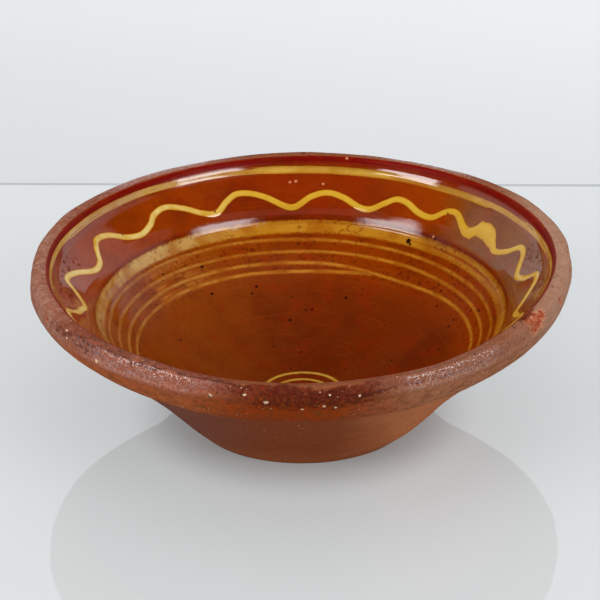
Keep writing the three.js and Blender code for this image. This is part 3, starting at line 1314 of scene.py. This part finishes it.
    def build(self, finish: Material) -> Object:
        """Turns the body, roughens it and knocks the chips out of its rim.

        Args:
            finish: The clay.

        Returns:
            The piece.
        """
        shape = spun(self.outline(), self.steps)
        layer = shape.verts.layers.float.new(Attribute.CHIP.value)
        level = shape.verts.layers.float.new(Attribute.LEVEL.value)
        edge = FACE.at(FACE.distance_at_radius(self.glaze_edge))[0]
        moves = []
        for vert in shape.verts:
            vert[level] = vert.co.z
            radius = math.hypot(vert.co.x, vert.co.y)
            line = self.base_radius + vert.co.z * (self.neck[0] - self.base_radius) / self.neck[1]
            outside = radius > line - self.outside_slack or radius > edge.x
            move = self.roughen(vert.co) if outside else 0.0
            if vert.co.z > 85 * MM:
                move = move * smooth(radius, edge.x - 1 * MM, edge.x + 2 * MM) + INSIDE.relief(vert.co)
            for chip in self.chips:
                reach = (vert.co - chip.place).length / chip.size
                reach += 0.25 * noise.noise(vert.co * 260)
                if reach < 1.15:
                    hollow = 1 - smooth(reach, 0.35, 1.1)
                    move -= chip.depth * hollow * (1 + 0.5 * noise.noise(vert.co * 420))
                    vert[layer] = max(vert[layer], 1 - smooth(reach, 0.55, 0.95))
            moves.append((move, outside))
        for vert, (move, outside) in zip(shape.verts, moves):
            vert.co += vert.normal * move
            if outside:
                vert.co = self.bulged(vert.co)
        return place_piece(shape, "clay_body", finish, ["clay_body"])


@dataclass(frozen=True)
class GlazeCoat:
    """The glaze lining: a thin skin over the inside, feathered out on the crest of the rim."""

    thickness: float = 0.9 * MM
    feather: float = 2.5 * MM
    spacing: float = 1.3 * MM
    back_spacing: float = 8 * MM
    edge_radius: float = 133.2 * MM
    edge_sink: float = 0.12 * MM
    steps: int = 480

    def build(self, finish: Material) -> Object:
        """Turns the skin and gives it the swell of the thrown surface.

        Args:
            finish: The glaze.

        Returns:
            The piece.
        """
        edge = FACE.distance_at_radius(self.edge_radius)
        front = FACE.sample(0, edge, self.spacing)
        end, normal = FACE.at(edge)
        front[-1] = end - normal * self.edge_sink
        back = []
        count = round(edge / self.back_spacing)
        for i in range(count):
            point, normal = FACE.at((edge - self.feather) * (1 - i / count))
            back.append(point - normal * self.thickness)
        floor = FACE.points[0]
        back.append(Vector((0, floor.y - self.thickness)))
        shape = spun(front + back, self.steps)
        facing = [vert for vert in shape.verts if vert.normal.z > 0 or vert.normal.xy.dot(vert.co.xy) < 0]
        moves = [vert.normal * INSIDE.relief(vert.co) for vert in facing]
        for vert, move in zip(facing, moves):
            vert.co += move
        return place_piece(shape, "glaze_coat", finish, ["glaze_coat"])


@dataclass(frozen=True)
class Trail:
    """A ring of slip trailed round the inside, as a low swelling that fades into the glaze.

    Attributes:
        name: The piece's name, and its node's.
        radius: Radius of its middle.
        inner: How far its swelling reaches towards the middle of the bowl.
        outer: How far it reaches towards the rim.
        rise: Its height over the glaze.
        drift: How far the hand wavered.
        strays: Bearings, with how many millimetres of the face the trail strays there to the rim.
        covers: Bearings, with how well the slip covers the clay there, from 0 to 1.
    """

    name: str
    radius: float
    inner: float
    outer: float
    rise: float
    drift: float = 0.2 * MM
    strays: Knots = ((0, 0.0),)
    covers: Knots = ((0, 1.0),)
    steps: int = 420
    points_across: int = 12
    sink: float = 0.035 * MM
    depth: float = 0.3 * MM

    def radius_at(self, bearing: float) -> float:
        """Radius of the trail's middle at a bearing."""
        return self.radius + wander(bearing, self.radius / MM, self.drift)

    def stretch_at(self, bearing: float) -> float:
        """How much wider than its own width the trail is at a bearing."""
        return 1 + wander(bearing, 40 + self.radius / MM, 0.18)

    def shown(self, across: float, bearing: float) -> float:
        """The distance from its middle that a point of the trail is coloured by."""
        return across

    def lift(self, across: float) -> float:
        """Height of the swelling over the glaze.

        Args:
            across: Distance from its middle.

        Returns:
            The height.
        """
        reach = self.outer if across > 0 else self.inner
        share = min(abs(across) / reach, 1.0)
        return self.rise * (1 + math.cos(math.pi * share)) / 2 - self.sink

    def section(self) -> list[tuple[float, float]]:
        """Draws the trail's section.

        Returns:
            Distances across and heights over the glaze.
        """
        points = []
        for i in range(self.points_across + 1):
            across = -self.inner + (self.inner + self.outer) * i / self.points_across
            points.append((across, self.lift(across)))
        points.append((self.outer, -self.depth))
        points.append((-self.inner, -self.depth))
        return points

    def build(self, finish: Material, slot: Slot) -> Object:
        """Spins the section as a wide ring, then lays every point on the bowl's face.

        Args:
            finish: The slip.
            slot: The record's slot for it; not used.

        Returns:
            The piece.
        """
        offset = 1.0
        points = [Vector((offset + across, lift)) for across, lift in self.section()]
        shape = spun(points, self.steps, closed=True)
        self.lay(shape, offset)
        return place_piece(shape, self.name, finish, [self.name])

    def lay(self, shape: BMesh, offset: float) -> None:
        """Moves the points of a wide ring to their places on the bowl's face.

        Args:
            shape: The ring, whose radius less offset is the distance across the trail.
            offset: The ring's own radius.
        """
        layer = shape.verts.layers.float.new(Attribute.ACROSS.value)
        cover = shape.verts.layers.float.new(Attribute.COVER.value)
        known: dict[float, tuple[float, float, float]] = {}
        for vert in shape.verts:
            bearing = math.atan2(vert.co.y, vert.co.x)
            across = math.hypot(vert.co.x, vert.co.y) - offset
            key = round(bearing, 5)
            if key not in known:
                way = FACE.distance_at_radius(self.radius_at(bearing)) + knotted(self.strays, bearing) * MM
                known[key] = (way, self.stretch_at(bearing), knotted(self.covers, bearing))
            middle, stretch, vert[cover] = known[key]
            point, normal = FACE.at(middle + across * stretch)
            turn = Vector((math.cos(bearing), math.sin(bearing), 0))
            base = turn * point.x + Vector((0, 0, point.y))
            out = turn * normal.x + Vector((0, 0, normal.y))
            vert[layer] = self.shown(across, bearing)
            vert.co = base + out * (vert.co.z + INSIDE.relief(base))
        bmesh.ops.recalc_face_normals(shape, faces=shape.faces)


@dataclass(frozen=True)
class DippedTrail(Trail):
    """A ring that leans out of its circle at one bearing, where a neighbour runs into it."""

    dip_bearing: float = 52.0
    dip_spread: float = 20.0
    dip: float = -2.2 * MM

    def radius_at(self, bearing: float) -> float:
        """Radius of the trail's middle at a bearing."""
        off = (math.degrees(bearing) - self.dip_bearing) / self.dip_spread
        return super().radius_at(bearing) + self.dip * math.exp(-off * off)


@dataclass(frozen=True)
class Strand(Trail):
    """One of two rings that run side by side, and that part along one stretch."""

    joined_side: int = 1
    gap_middle: float = 28.0
    gap_spread: float = 30.0

    def shown(self, across: float, bearing: float) -> float:
        """Keeps the slip whole up to its neighbour, but for the stretch where they part.

        Args:
            across: Distance from the middle of the strand.
            bearing: The bearing, in radians.

        Returns:
            The distance that the point is coloured by.
        """
        if across * self.joined_side <= 0:
            return across
        off = (math.degrees(bearing) - self.gap_middle) / self.gap_spread
        return across * (0.35 + 0.85 * math.exp(-off * off))


@dataclass(frozen=True)
class OpenTrail(Trail):
    """A trail that starts and stops, thinned and sunk at its ends where it runs into its neighbour."""

    start: float = 55.0
    end: float = 303.0
    join: float = 2.0 * MM
    taper: float = 16.0

    def along(self, bearing: float) -> float:
        """Degrees from the nearer end of the trail, negative beyond it."""
        degrees = math.degrees(bearing) % 360
        return min(degrees - self.start, self.end - degrees)

    def radius_at(self, bearing: float) -> float:
        """Radius of the trail's middle at a bearing."""
        close = 1 - smooth(self.along(bearing), 0, 2 * self.taper)
        return super().radius_at(bearing) + self.join * close

    def build(self, finish: Material, slot: Slot) -> Object:
        """Spins the section part of the way round, closes its ends and lays it on the face.

        Args:
            finish: The slip.
            slot: The record's slot for it; not used.

        Returns:
            The piece.
        """
        offset = 1.0
        shape = bmesh.new()
        verts = [shape.verts.new((offset + across, 0, lift)) for across, lift in self.section()]
        face = shape.faces.new(verts)
        turn = Matrix.Rotation(math.radians(self.start), 3, "Z")
        bmesh.ops.rotate(shape, verts=verts, cent=(0, 0, 0), matrix=turn)
        sweep = math.radians(self.end - self.start)
        bmesh.ops.spin(
            shape, geom=[face], cent=(0, 0, 0), axis=(0, 0, 1), dvec=(0, 0, 0),
            angle=sweep, steps=self.steps, use_merge=False, use_duplicate=False,
        )
        for vert in shape.verts:
            close = smooth(self.along(math.atan2(vert.co.y, vert.co.x)), 0, self.taper)
            vert.co.z = vert.co.z - self.rise * 1.2 * (1 - close)
        self.lay(shape, offset)
        return place_piece(shape, self.name, finish, [self.name])


@dataclass(frozen=True)
class Turn:
    """A place that the wave passes: bearing in degrees, radius in millimetres, and its swelling."""

    bearing: float
    radius: float
    swell: float = 1.0


# The stretch of the wave that can be seen from the front.
SEEN_TURNS = (
    Turn(-23.1, 120.5), Turn(-20.1, 116.8), Turn(-16.6, 114.3), Turn(-14.3, 115.4), Turn(-10.2, 118),
    Turn(-6.1, 121.6), Turn(-3.6, 123.0), Turn(-1.6, 122.4), Turn(0.3, 118.2), Turn(4.5, 114.8),
    Turn(8, 117.3), Turn(11.6, 121.4), Turn(14.7, 121.9), Turn(18, 117), Turn(22, 113.9),
    Turn(24.8, 115.4, 1.3), Turn(27.2, 117.2, 2.2), Turn(29.2, 118.1, 2.6), Turn(31.2, 118.3, 2.7),
    Turn(33.2, 117.6, 2.3), Turn(34.6, 115.4, 1.9), Turn(36.5, 114.3, 1.6), Turn(39, 115.9, 1.2),
    Turn(43, 119.7), Turn(46, 119.2), Turn(50, 114.6),
    Turn(54.7, 115.2), Turn(59, 118.1), Turn(62.3, 118.7), Turn(65.3, 116.1), Turn(69, 112.6),
    Turn(72.6, 112.8), Turn(77.8, 116.6), Turn(82.3, 118.3), Turn(86.6, 116.5), Turn(91, 112.2),
    Turn(94.2, 112.3), Turn(99.8, 117), Turn(104, 119.4), Turn(107.8, 119.8), Turn(110.8, 117.3),
    Turn(114.8, 113), Turn(119, 114.3), Turn(124, 118.6), Turn(129, 121.3), Turn(133.3, 119.7),
    Turn(136, 116.5), Turn(140.5, 114.3), Turn(145.7, 116.1), Turn(151, 120.9), Turn(155.5, 122.2),
    Turn(158, 119.7), Turn(161.4, 114.7), Turn(166, 114.1), Turn(174.6, 120.7), Turn(180, 122.6),
    Turn(183.1, 117.2), Turn(187.0, 113.4), Turn(191, 115.6), Turn(195.1, 118.9), Turn(198.6, 124.6),
    Turn(206, 125.2), Turn(212, 116.3),
)


@dataclass(frozen=True)
class WaveTrail(Trail):
    """The wavy line on the flange, which overlaps itself in one broad patch."""

    crest: float = 121.5 * MM
    trough: float = 114.2 * MM
    hidden_first: float = 219.0
    hidden_last: float = 322.0
    hidden_count: int = 6
    lean: float = 0.6

    def turns(self) -> list[Turn]:
        """Lists all places that the wave passes.

        Returns:
            The places, in order round the bowl.
        """
        turns = list(SEEN_TURNS)
        pitch = (self.hidden_last - self.hidden_first) / (self.hidden_count - 1)
        for i in range(self.hidden_count):
            bearing = self.hidden_first + i * pitch
            turns.append(Turn(bearing, self.crest / MM))
            turns.append(Turn(bearing + pitch * (1 - self.lean), self.trough / MM))
        return turns

    def passed(self, bearing: float) -> Turn:
        """Runs an even curve through the wave's turns.

        Args:
            bearing: The bearing, in radians.

        Returns:
            The wave's place there.
        """
        turns = self.turns()
        first = turns[0].bearing
        degrees = first + (math.degrees(bearing) - first) % 360
        count = len(turns)
        i = max(k for k, turn in enumerate(turns) if turn.bearing <= degrees)
        near = []
        for k in (i - 1, i, i + 1, i + 2):
            turn = turns[k % count]
            near.append(Turn(turn.bearing + 360 * (k // count), turn.radius, turn.swell))
        before, start, end, after = (turn.bearing for turn in near)
        t = (degrees - start) / (end - start)
        values = []
        for a, b, c, d in ([turn.radius for turn in near], [turn.swell for turn in near]):
            leaving = (c - a) / (end - before) * (end - start)
            coming = (d - b) / (after - start) * (end - start)
            near_start = (2 * t**3 - 3 * t**2 + 1) * b + (t**3 - 2 * t**2 + t) * leaving
            values.append(near_start + (-2 * t**3 + 3 * t**2) * c + (t**3 - t**2) * coming)
        return Turn(degrees, values[0], values[1])

    def radius_at(self, bearing: float) -> float:
        """Radius of the wave's middle at a bearing."""
        return self.passed(bearing).radius * MM

    def stretch_at(self, bearing: float) -> float:
        """How much wider up the flange the wave is, where it runs steeply or swells.

        Args:
            bearing: The bearing, in radians.

        Returns:
            The width, as a share of its own.
        """
        step = math.radians(0.4)
        ahead = FACE.distance_at_radius(self.radius_at(bearing + step))
        behind = FACE.distance_at_radius(self.radius_at(bearing - step))
        slope = (ahead - behind) / (2 * step * self.radius_at(bearing))
        return self.passed(bearing).swell * math.hypot(1, slope)


# By bearing in degrees, how many millimetres a trail strays up the face, and how well it covers
# the clay there, from 0 to 1.
RIM_STRAYS = (
    (-8, 2.0), (10, 0.7), (28, -0.6), (40, -1.9), (52, -2.4), (70, -1.5), (88, -0.9),
    (118, 0.1), (136, 1.1), (154, 1.5), (172, 2.3), (190, 2.9), (230, 2.4),
)
RIM_COVERS = (
    (-8, 0.7), (10, 0.78), (36, 0.85), (46, 0.55), (60, 0.5), (69, 0.95), (98, 1.0), (108, 0.7), (118, 0.6),
    (124, 0.9), (131, 1.0), (137, 0.72), (148, 0.72), (164, 1.0), (176, 0.95), (190, 0.8), (240, 0.9),
)
SHOULDER_STRAYS = (
    (-8, -0.2), (10, -0.2), (28, -0.6), (52, -0.9), (88, -0.4),
    (118, -0.1), (154, 0.5), (190, 0.4), (250, 0.0),
)
UPPER_COVERS = (
    (-8, 0.62), (14, 0.7), (40, 0.62), (56, 0.9), (100, 0.95), (140, 1.0), (190, 0.85), (260, 0.9),
)
LOWER_COVERS = (
    (-8, 0.55), (14, 0.6), (40, 0.62), (56, 0.9), (100, 0.95), (146, 0.9), (166, 0.6), (190, 0.5), (260, 0.9),
)
HIGH_STRAYS = (
    (-8, -0.9), (10, -1.2), (34, -1.9), (60, -1.5), (88, -0.7),
    (120, 0.6), (142, 1.7), (160, 1.7), (182, 0.9), (250, 0.0),
)
LINE_STRAYS = (
    (-8, -0.4), (10, -0.6), (34, -1.1), (60, -0.9), (88, -0.5),
    (120, 0.9), (142, 2.0), (160, 2.0), (190, 1.6), (250, 0.0),
)
LINE_COVERS = ((-8, 0.8), (22, 0.9), (88, 1.0), (140, 1.0), (156, 0.75), (180, 0.7), (220, 0.9))


@dataclass(frozen=True)
class SlipWork:
    """All the slip on the bowl, each trail with its own finish."""

    glaze: GlazeFinish = GlazeFinish()
    yellow: Colour = linear(174, 136, 40)
    yellow_thin: Colour = linear(166, 122, 26)
    cream: Colour = linear(190, 164, 98)
    straw: Colour = linear(172, 134, 52)
    gold: Colour = linear(154, 106, 24)
    sand: Colour = linear(168, 134, 76)
    wheat: Colour = linear(158, 108, 24)
    amber: Colour = linear(138, 80, 8)
    line: Colour = linear(154, 98, 24)
    line_thin: Colour = linear(128, 66, 8)
    line_pale: Colour = linear(150, 100, 42)

    def build(self) -> None:
        """Lays every trail."""
        band = SlipFinish(
            "rim_band_slip", self.straw, self.gold, self.sand, 2.3 * MM, 0.3, 0.4, 0.95, 0.15, self.glaze
        )
        rim = Trail(
            "rim_band_trail", 128.9 * MM, 4.0 * MM, 4.0 * MM, 0.06 * MM, strays=RIM_STRAYS, covers=RIM_COVERS
        )
        rim.build(band.material(), Slot.YELLOW)
        wavy = SlipFinish(
            "wave_slip", self.yellow, self.yellow_thin, self.cream, 1.8 * MM, 0.16, 0.2, 1.0, 0.05, self.glaze
        )
        wave = WaveTrail("wave_trail", 117 * MM, 2.5 * MM, 2.5 * MM, 0.26 * MM, steps=1500)
        wave.build(wavy.material(), Slot.YELLOW)
        self.shoulder()
        self.lines()
        small = SlipFinish(
            "centre_ring_slip", self.straw, self.gold, self.straw, 1.0 * MM, 0.35, 0.4, 0.85, 0.2, self.glaze
        )
        small_finish = small.material()
        for name, radius in (("outer", 22), ("middle", 16), ("inner", 10)):
            ring = Trail(f"centre_ring_trail_{name}", radius * MM, 1.8 * MM, 1.8 * MM, 0.2 * MM, steps=240)
            ring.build(small_finish, Slot.AMBER)

    def shoulder(self) -> None:
        """Lays the two strands of the wide band on the shoulder."""
        broad = SlipFinish(
            "shoulder_band_slip", self.wheat, self.amber, self.sand, 2.1 * MM, 0.35, 0.9, 0.95, 0.62,
            self.glaze,
        )
        finish = broad.material()
        reach = 4.2 * MM
        for side, radius, joined_side, covers in (
            ("upper", 107.05, -1, UPPER_COVERS), ("lower", 104.6, 1, LOWER_COVERS),
        ):
            strand = Strand(
                f"shoulder_band_trail_{side}", radius * MM, reach, reach, 0.12 * MM,
                strays=SHOULDER_STRAYS, covers=covers, joined_side=joined_side,
            )
            strand.build(finish, Slot.AMBER)

    def lines(self) -> None:
        """Lays the four thin lines on the wall of the well."""
        colours = (self.line, self.line_thin, self.line_pale)
        faint = SlipFinish("faint_line_slip", *colours, 1.15 * MM, 0.6, 1.2, 0.85, 0.7, self.glaze).material()
        clear = SlipFinish("clear_line_slip", *colours, 1.2 * MM, 0.55, 1.0, 0.92, 0.5, self.glaze).material()
        reach = 2.4 * MM
        for kind, number, radius, finish, strays in (
            (Trail, 1, 100.7, faint, HIGH_STRAYS), (Trail, 2, 95.2, faint, LINE_STRAYS),
            (DippedTrail, 3, 90.2, clear, LINE_STRAYS), (OpenTrail, 4, 86.1, clear, LINE_STRAYS),
        ):
            name = f"wall_line_trail_{number}"
            trail = kind(name, radius * MM, reach, reach, 0.16 * MM, strays=strays, covers=LINE_COVERS)
            trail.build(finish, Slot.AMBER)


class Shine(Enum):
    """What a lamp does: lights surfaces, or only shows in glossy ones."""

    LIGHT = "light"
    MIRRORED = "mirrored"


@dataclass(frozen=True)
class Softbox:
    """A large soft lamp, by its bearing and height over the table as seen from the bowl."""

    name: str
    bearing: float
    elevation: float
    power: float
    shine: Shine
    width: float = 2.4
    height: float = 2.0
    distance: float = 4.5

    def build(self) -> None:
        """Hangs the lamp, facing the bowl."""
        lamp = bpy.data.lights.new(self.name, "AREA")
        lamp.shape = "RECTANGLE"
        lamp.size = self.width
        lamp.size_y = self.height
        lamp.energy = self.power
        turn, climb = math.radians(self.bearing), math.radians(self.elevation)
        away = Vector((math.cos(turn) * math.cos(climb), math.sin(turn) * math.cos(climb), math.sin(climb)))
        holder = bpy.data.objects.new(self.name, lamp)
        holder.location = away * self.distance + Vector((0, 0, 0.07))
        holder.rotation_mode = "QUATERNION"
        holder.rotation_quaternion = away.to_track_quat("Z", "Y")
        holder.visible_glossy = self.shine is Shine.MIRRORED
        holder.visible_diffuse = self.shine is Shine.LIGHT
        bpy.context.scene.collection.objects.link(holder)


@dataclass(frozen=True)
class Studio:
    """A pale table, a pale wall behind it, two soft lamps and the camera."""

    table_edge: float = 0.301
    edge_slope: float = -0.036
    reach: float = 6.0
    wall_radius: float = 3.0
    world_level: float = 0.78
    glossy_level: float = 0.02
    edge_shadow_width: float = 0.005
    camera_place: tuple[float, float, float] = (-0.0006, -1.0169, 0.5682)
    camera_pitch: float = 26.36
    camera_roll: float = -0.675
    lens: float = 129.09

    def build(self) -> None:
        """Sets up everything round the bowl."""
        self.table()
        self.backdrop()
        for lamp in (
            Softbox("softbox_right", -43, 28, 132, Shine.LIGHT),
            Softbox("softbox_left", -148, 28, 126, Shine.LIGHT),
            Softbox("softbox_top", 0, 90, 26, Shine.LIGHT, 3.0, 3.0, 2.6),
            Softbox("mirrored_right", -43, 31, 108, Shine.MIRRORED, 2.35, 1.2, 4.4),
            Softbox("mirrored_left", -148, 32, 100, Shine.MIRRORED, 2.15, 1.2, 4.4),
        ):
            lamp.build()
        self.surroundings()
        self.camera()
        bpy.context.scene.view_settings.view_transform = "Standard"

    def surroundings(self) -> None:
        """Pale light from all round, which shows only faintly in glossy surfaces."""
        world = bpy.data.worlds.new("studio")
        world.use_nodes = True
        tree = world.node_tree
        rays = tree.nodes.new("ShaderNodeLightPath")
        level = tree.nodes.new("ShaderNodeMapRange")
        level.inputs["To Min"].default_value = self.world_level
        level.inputs["To Max"].default_value = self.glossy_level
        tree.links.new(rays.outputs["Is Glossy Ray"], level.inputs["Value"])
        back = tree.nodes["Background"]
        back.inputs["Color"].default_value = (1, 1, 1, 1)
        tree.links.new(level.outputs["Result"], back.inputs["Strength"])
        bpy.context.scene.world = world

    def add(self, shape: BMesh, name: str, finish: Material) -> Object:
        """Puts a shape in the room as part of the stage.

        Args:
            shape: The shape, which is freed.
            name: Its name.
            finish: Its material.

        Returns:
            The new object.
        """
        mesh = bpy.data.meshes.new(name)
        shape.to_mesh(mesh)
        shape.free()
        mesh.materials.append(finish)
        thing = bpy.data.objects.new(name, mesh)
        bpy.context.scene.collection.objects.link(thing)
        return thing

    def slab(self, near: float, far: float, level: float) -> BMesh:
        """A flat sheet between two lines that run along the table's far edge.

        Args:
            near: Where the nearer line crosses the middle.
            far: Where the farther line does.
            level: Height of the sheet.

        Returns:
            The sheet.
        """
        shape = bmesh.new()
        bmesh.ops.create_grid(shape, x_segments=1, y_segments=1, size=1.0)
        for vert in shape.verts:
            line = far if vert.co.y > 0 else near
            x = vert.co.x * self.reach
            vert.co = Vector((x, line + self.edge_slope * x, level))
        return shape

    def table(self) -> None:
        """The glossy table top, and the narrow shadow line at its far edge."""
        polish = {"Roughness": 0.03, "IOR": 1.75}
        top = Graph("table_top")
        top.dress(top.shader, {"Base Color": linear(182, 186, 187), **polish})
        self.even_out(top, polish)
        self.add(self.slab(-self.reach, self.table_edge, 0.0), "table_top", top.material)
        # A darker strip at the table's far edge: painted shadow line.
        edge_shadow = Graph("table_edge_shadow")
        edge_shadow.dress(edge_shadow.shader, {"Base Color": linear(160, 164, 167), "Roughness": 0.6})
        beyond = self.table_edge + self.edge_shadow_width
        self.add(self.slab(self.table_edge, beyond, -0.0005), "table_edge_shadow", edge_shadow.material)

    def even_out(self, top: Graph, polish: dict[str, object]) -> None:
        """Lets the camera see half of the table's light as an even glow, which leaves a soft shadow; near the
        foot the glow is dimmed as a painted contact shadow.

        Args:
            top: The table's material, whose plain shader goes on lighting the bowl.
            polish: The table's gloss.
        """
        seen = top.node("BsdfPrincipled")
        # Painted contact shadow: the glow is weaker near the foot.
        outside_painted_shadow = top.radius.ease_mm(60, 98)
        top.dress(seen, {
            "Base Color": linear(133, 136, 137), "Emission Color": linear(151, 154, 155),
            "Emission Strength": outside_painted_shadow * 0.6 + 0.4, **polish,
        })
        rays = top.node("LightPath")
        top.show(Value(top, rays.outputs["Is Camera Ray"]), seen.outputs["BSDF"])

    def backdrop(self) -> None:
        """The pale sheet behind the table, and the walls and panels that stand round the back."""
        sheet = Graph("backdrop")
        # Painted light: the sheet is lighter towards the back and the right.
        far = (sheet.y + sheet.x * 0.35).ease(0.2, 0.95)
        shade = sheet.mix(far, linear(184, 186, 189), linear(208, 209, 212))
        sheet.dress(sheet.shader, {"Base Color": shade, "Roughness": 0.9})
        beyond = self.table_edge + self.edge_shadow_width
        self.add(self.slab(beyond, self.reach, -0.001), "backdrop_floor", sheet.material)
        for name, start, end, low, high, tone in (
            ("backdrop_middle", 74, 106, 0.0, 2.6, (236, 237, 240)),
            ("backdrop_left", 106, 185, 0.0, 1.5, (236, 237, 240)),
            ("backdrop_right", -5, 74, 0.0, 1.5, (236, 237, 240)),
            ("panel_left", 106, 156, 1.5, 2.9, (226, 227, 230)),
            ("panel_far_left", 156, 176, 1.2, 2.9, (165, 165, 167)),
            ("panel_right", 20, 74, 1.5, 2.3, (226, 227, 230)),
            ("panel_far_right", -5, 20, 1.5, 2.8, (165, 165, 167)),
            ("panel_front", 215, 325, 2.95, 3.6, (196, 180, 168)),
        ):
            wall = self.add(self.wall(start, end, low, high), name, self.glow(name, linear(*tone)))
            if name.startswith("panel"):
                wall.visible_diffuse = False
                wall.visible_shadow = False

    def glow(self, name: str, shade: Colour) -> Material:
        """A wall's finish, which shows at an even level wherever it is seen or mirrored.

        Args:
            name: The material's name.
            shade: The colour that it shows.

        Returns:
            The material.
        """
        glow = Graph(name)
        rays = glow.node("LightPath").outputs
        seen = Value(glow, rays["Is Camera Ray"]).most(Value(glow, rays["Is Glossy Ray"]))
        seen = seen.most(Value(glow, rays["Is Transmission Ray"]))
        pale = glow.node("Emission")
        pale.inputs["Color"].default_value = shade
        glow.shader.inputs["Base Color"].default_value = linear(186, 188, 191)
        glow.show(seen, pale.outputs[0])
        return glow.material

    def wall(self, start: float, end: float, low: float, high: float) -> BMesh:
        """Part of a round wall.

        Args:
            start: The bearing of one end, in degrees.
            end: The bearing of the other end.
            low: Height of its lower edge.
            high: Height of its upper edge.

        Returns:
            The sheet.
        """
        shape = bmesh.new()
        turn = math.radians(start)
        away = Vector((math.cos(turn), math.sin(turn), 0)) * self.wall_radius
        foot = shape.verts.new(away + Vector((0, 0, low)))
        top = shape.verts.new(away + Vector((0, 0, high)))
        edge = shape.edges.new((foot, top))
        bmesh.ops.spin(
            shape, geom=[foot, top, edge], cent=(0, 0, 0), axis=(0, 0, 1), dvec=(0, 0, 0),
            angle=math.radians(end - start), steps=24, use_merge=False, use_duplicate=False,
        )
        return shape

    def camera(self) -> None:
        """The camera, where the bowl was looked at from."""
        data = bpy.data.cameras.new("camera")
        data.sensor_width = 36.0
        data.lens = self.lens
        camera = bpy.data.objects.new("camera", data)
        pitch = Matrix.Rotation(math.radians(90 - self.camera_pitch), 4, "X")
        roll = Matrix.Rotation(math.radians(self.camera_roll), 4, "Z")
        camera.matrix_world = Matrix.Translation(self.camera_place) @ pitch @ roll
        bpy.context.scene.collection.objects.link(camera)
        bpy.context.scene.camera = camera


def main() -> None:
    """Builds the studio and the bowl, piece by piece."""
    logging.basicConfig(level=logging.INFO, format="%(name)s %(message)s")
    Studio().build()
    ClayBody().build(ClayFinish().material())
    GlazeCoat().build(GlazeFinish().material())
    SlipWork().build()


if __name__ == "__main__":
    main()
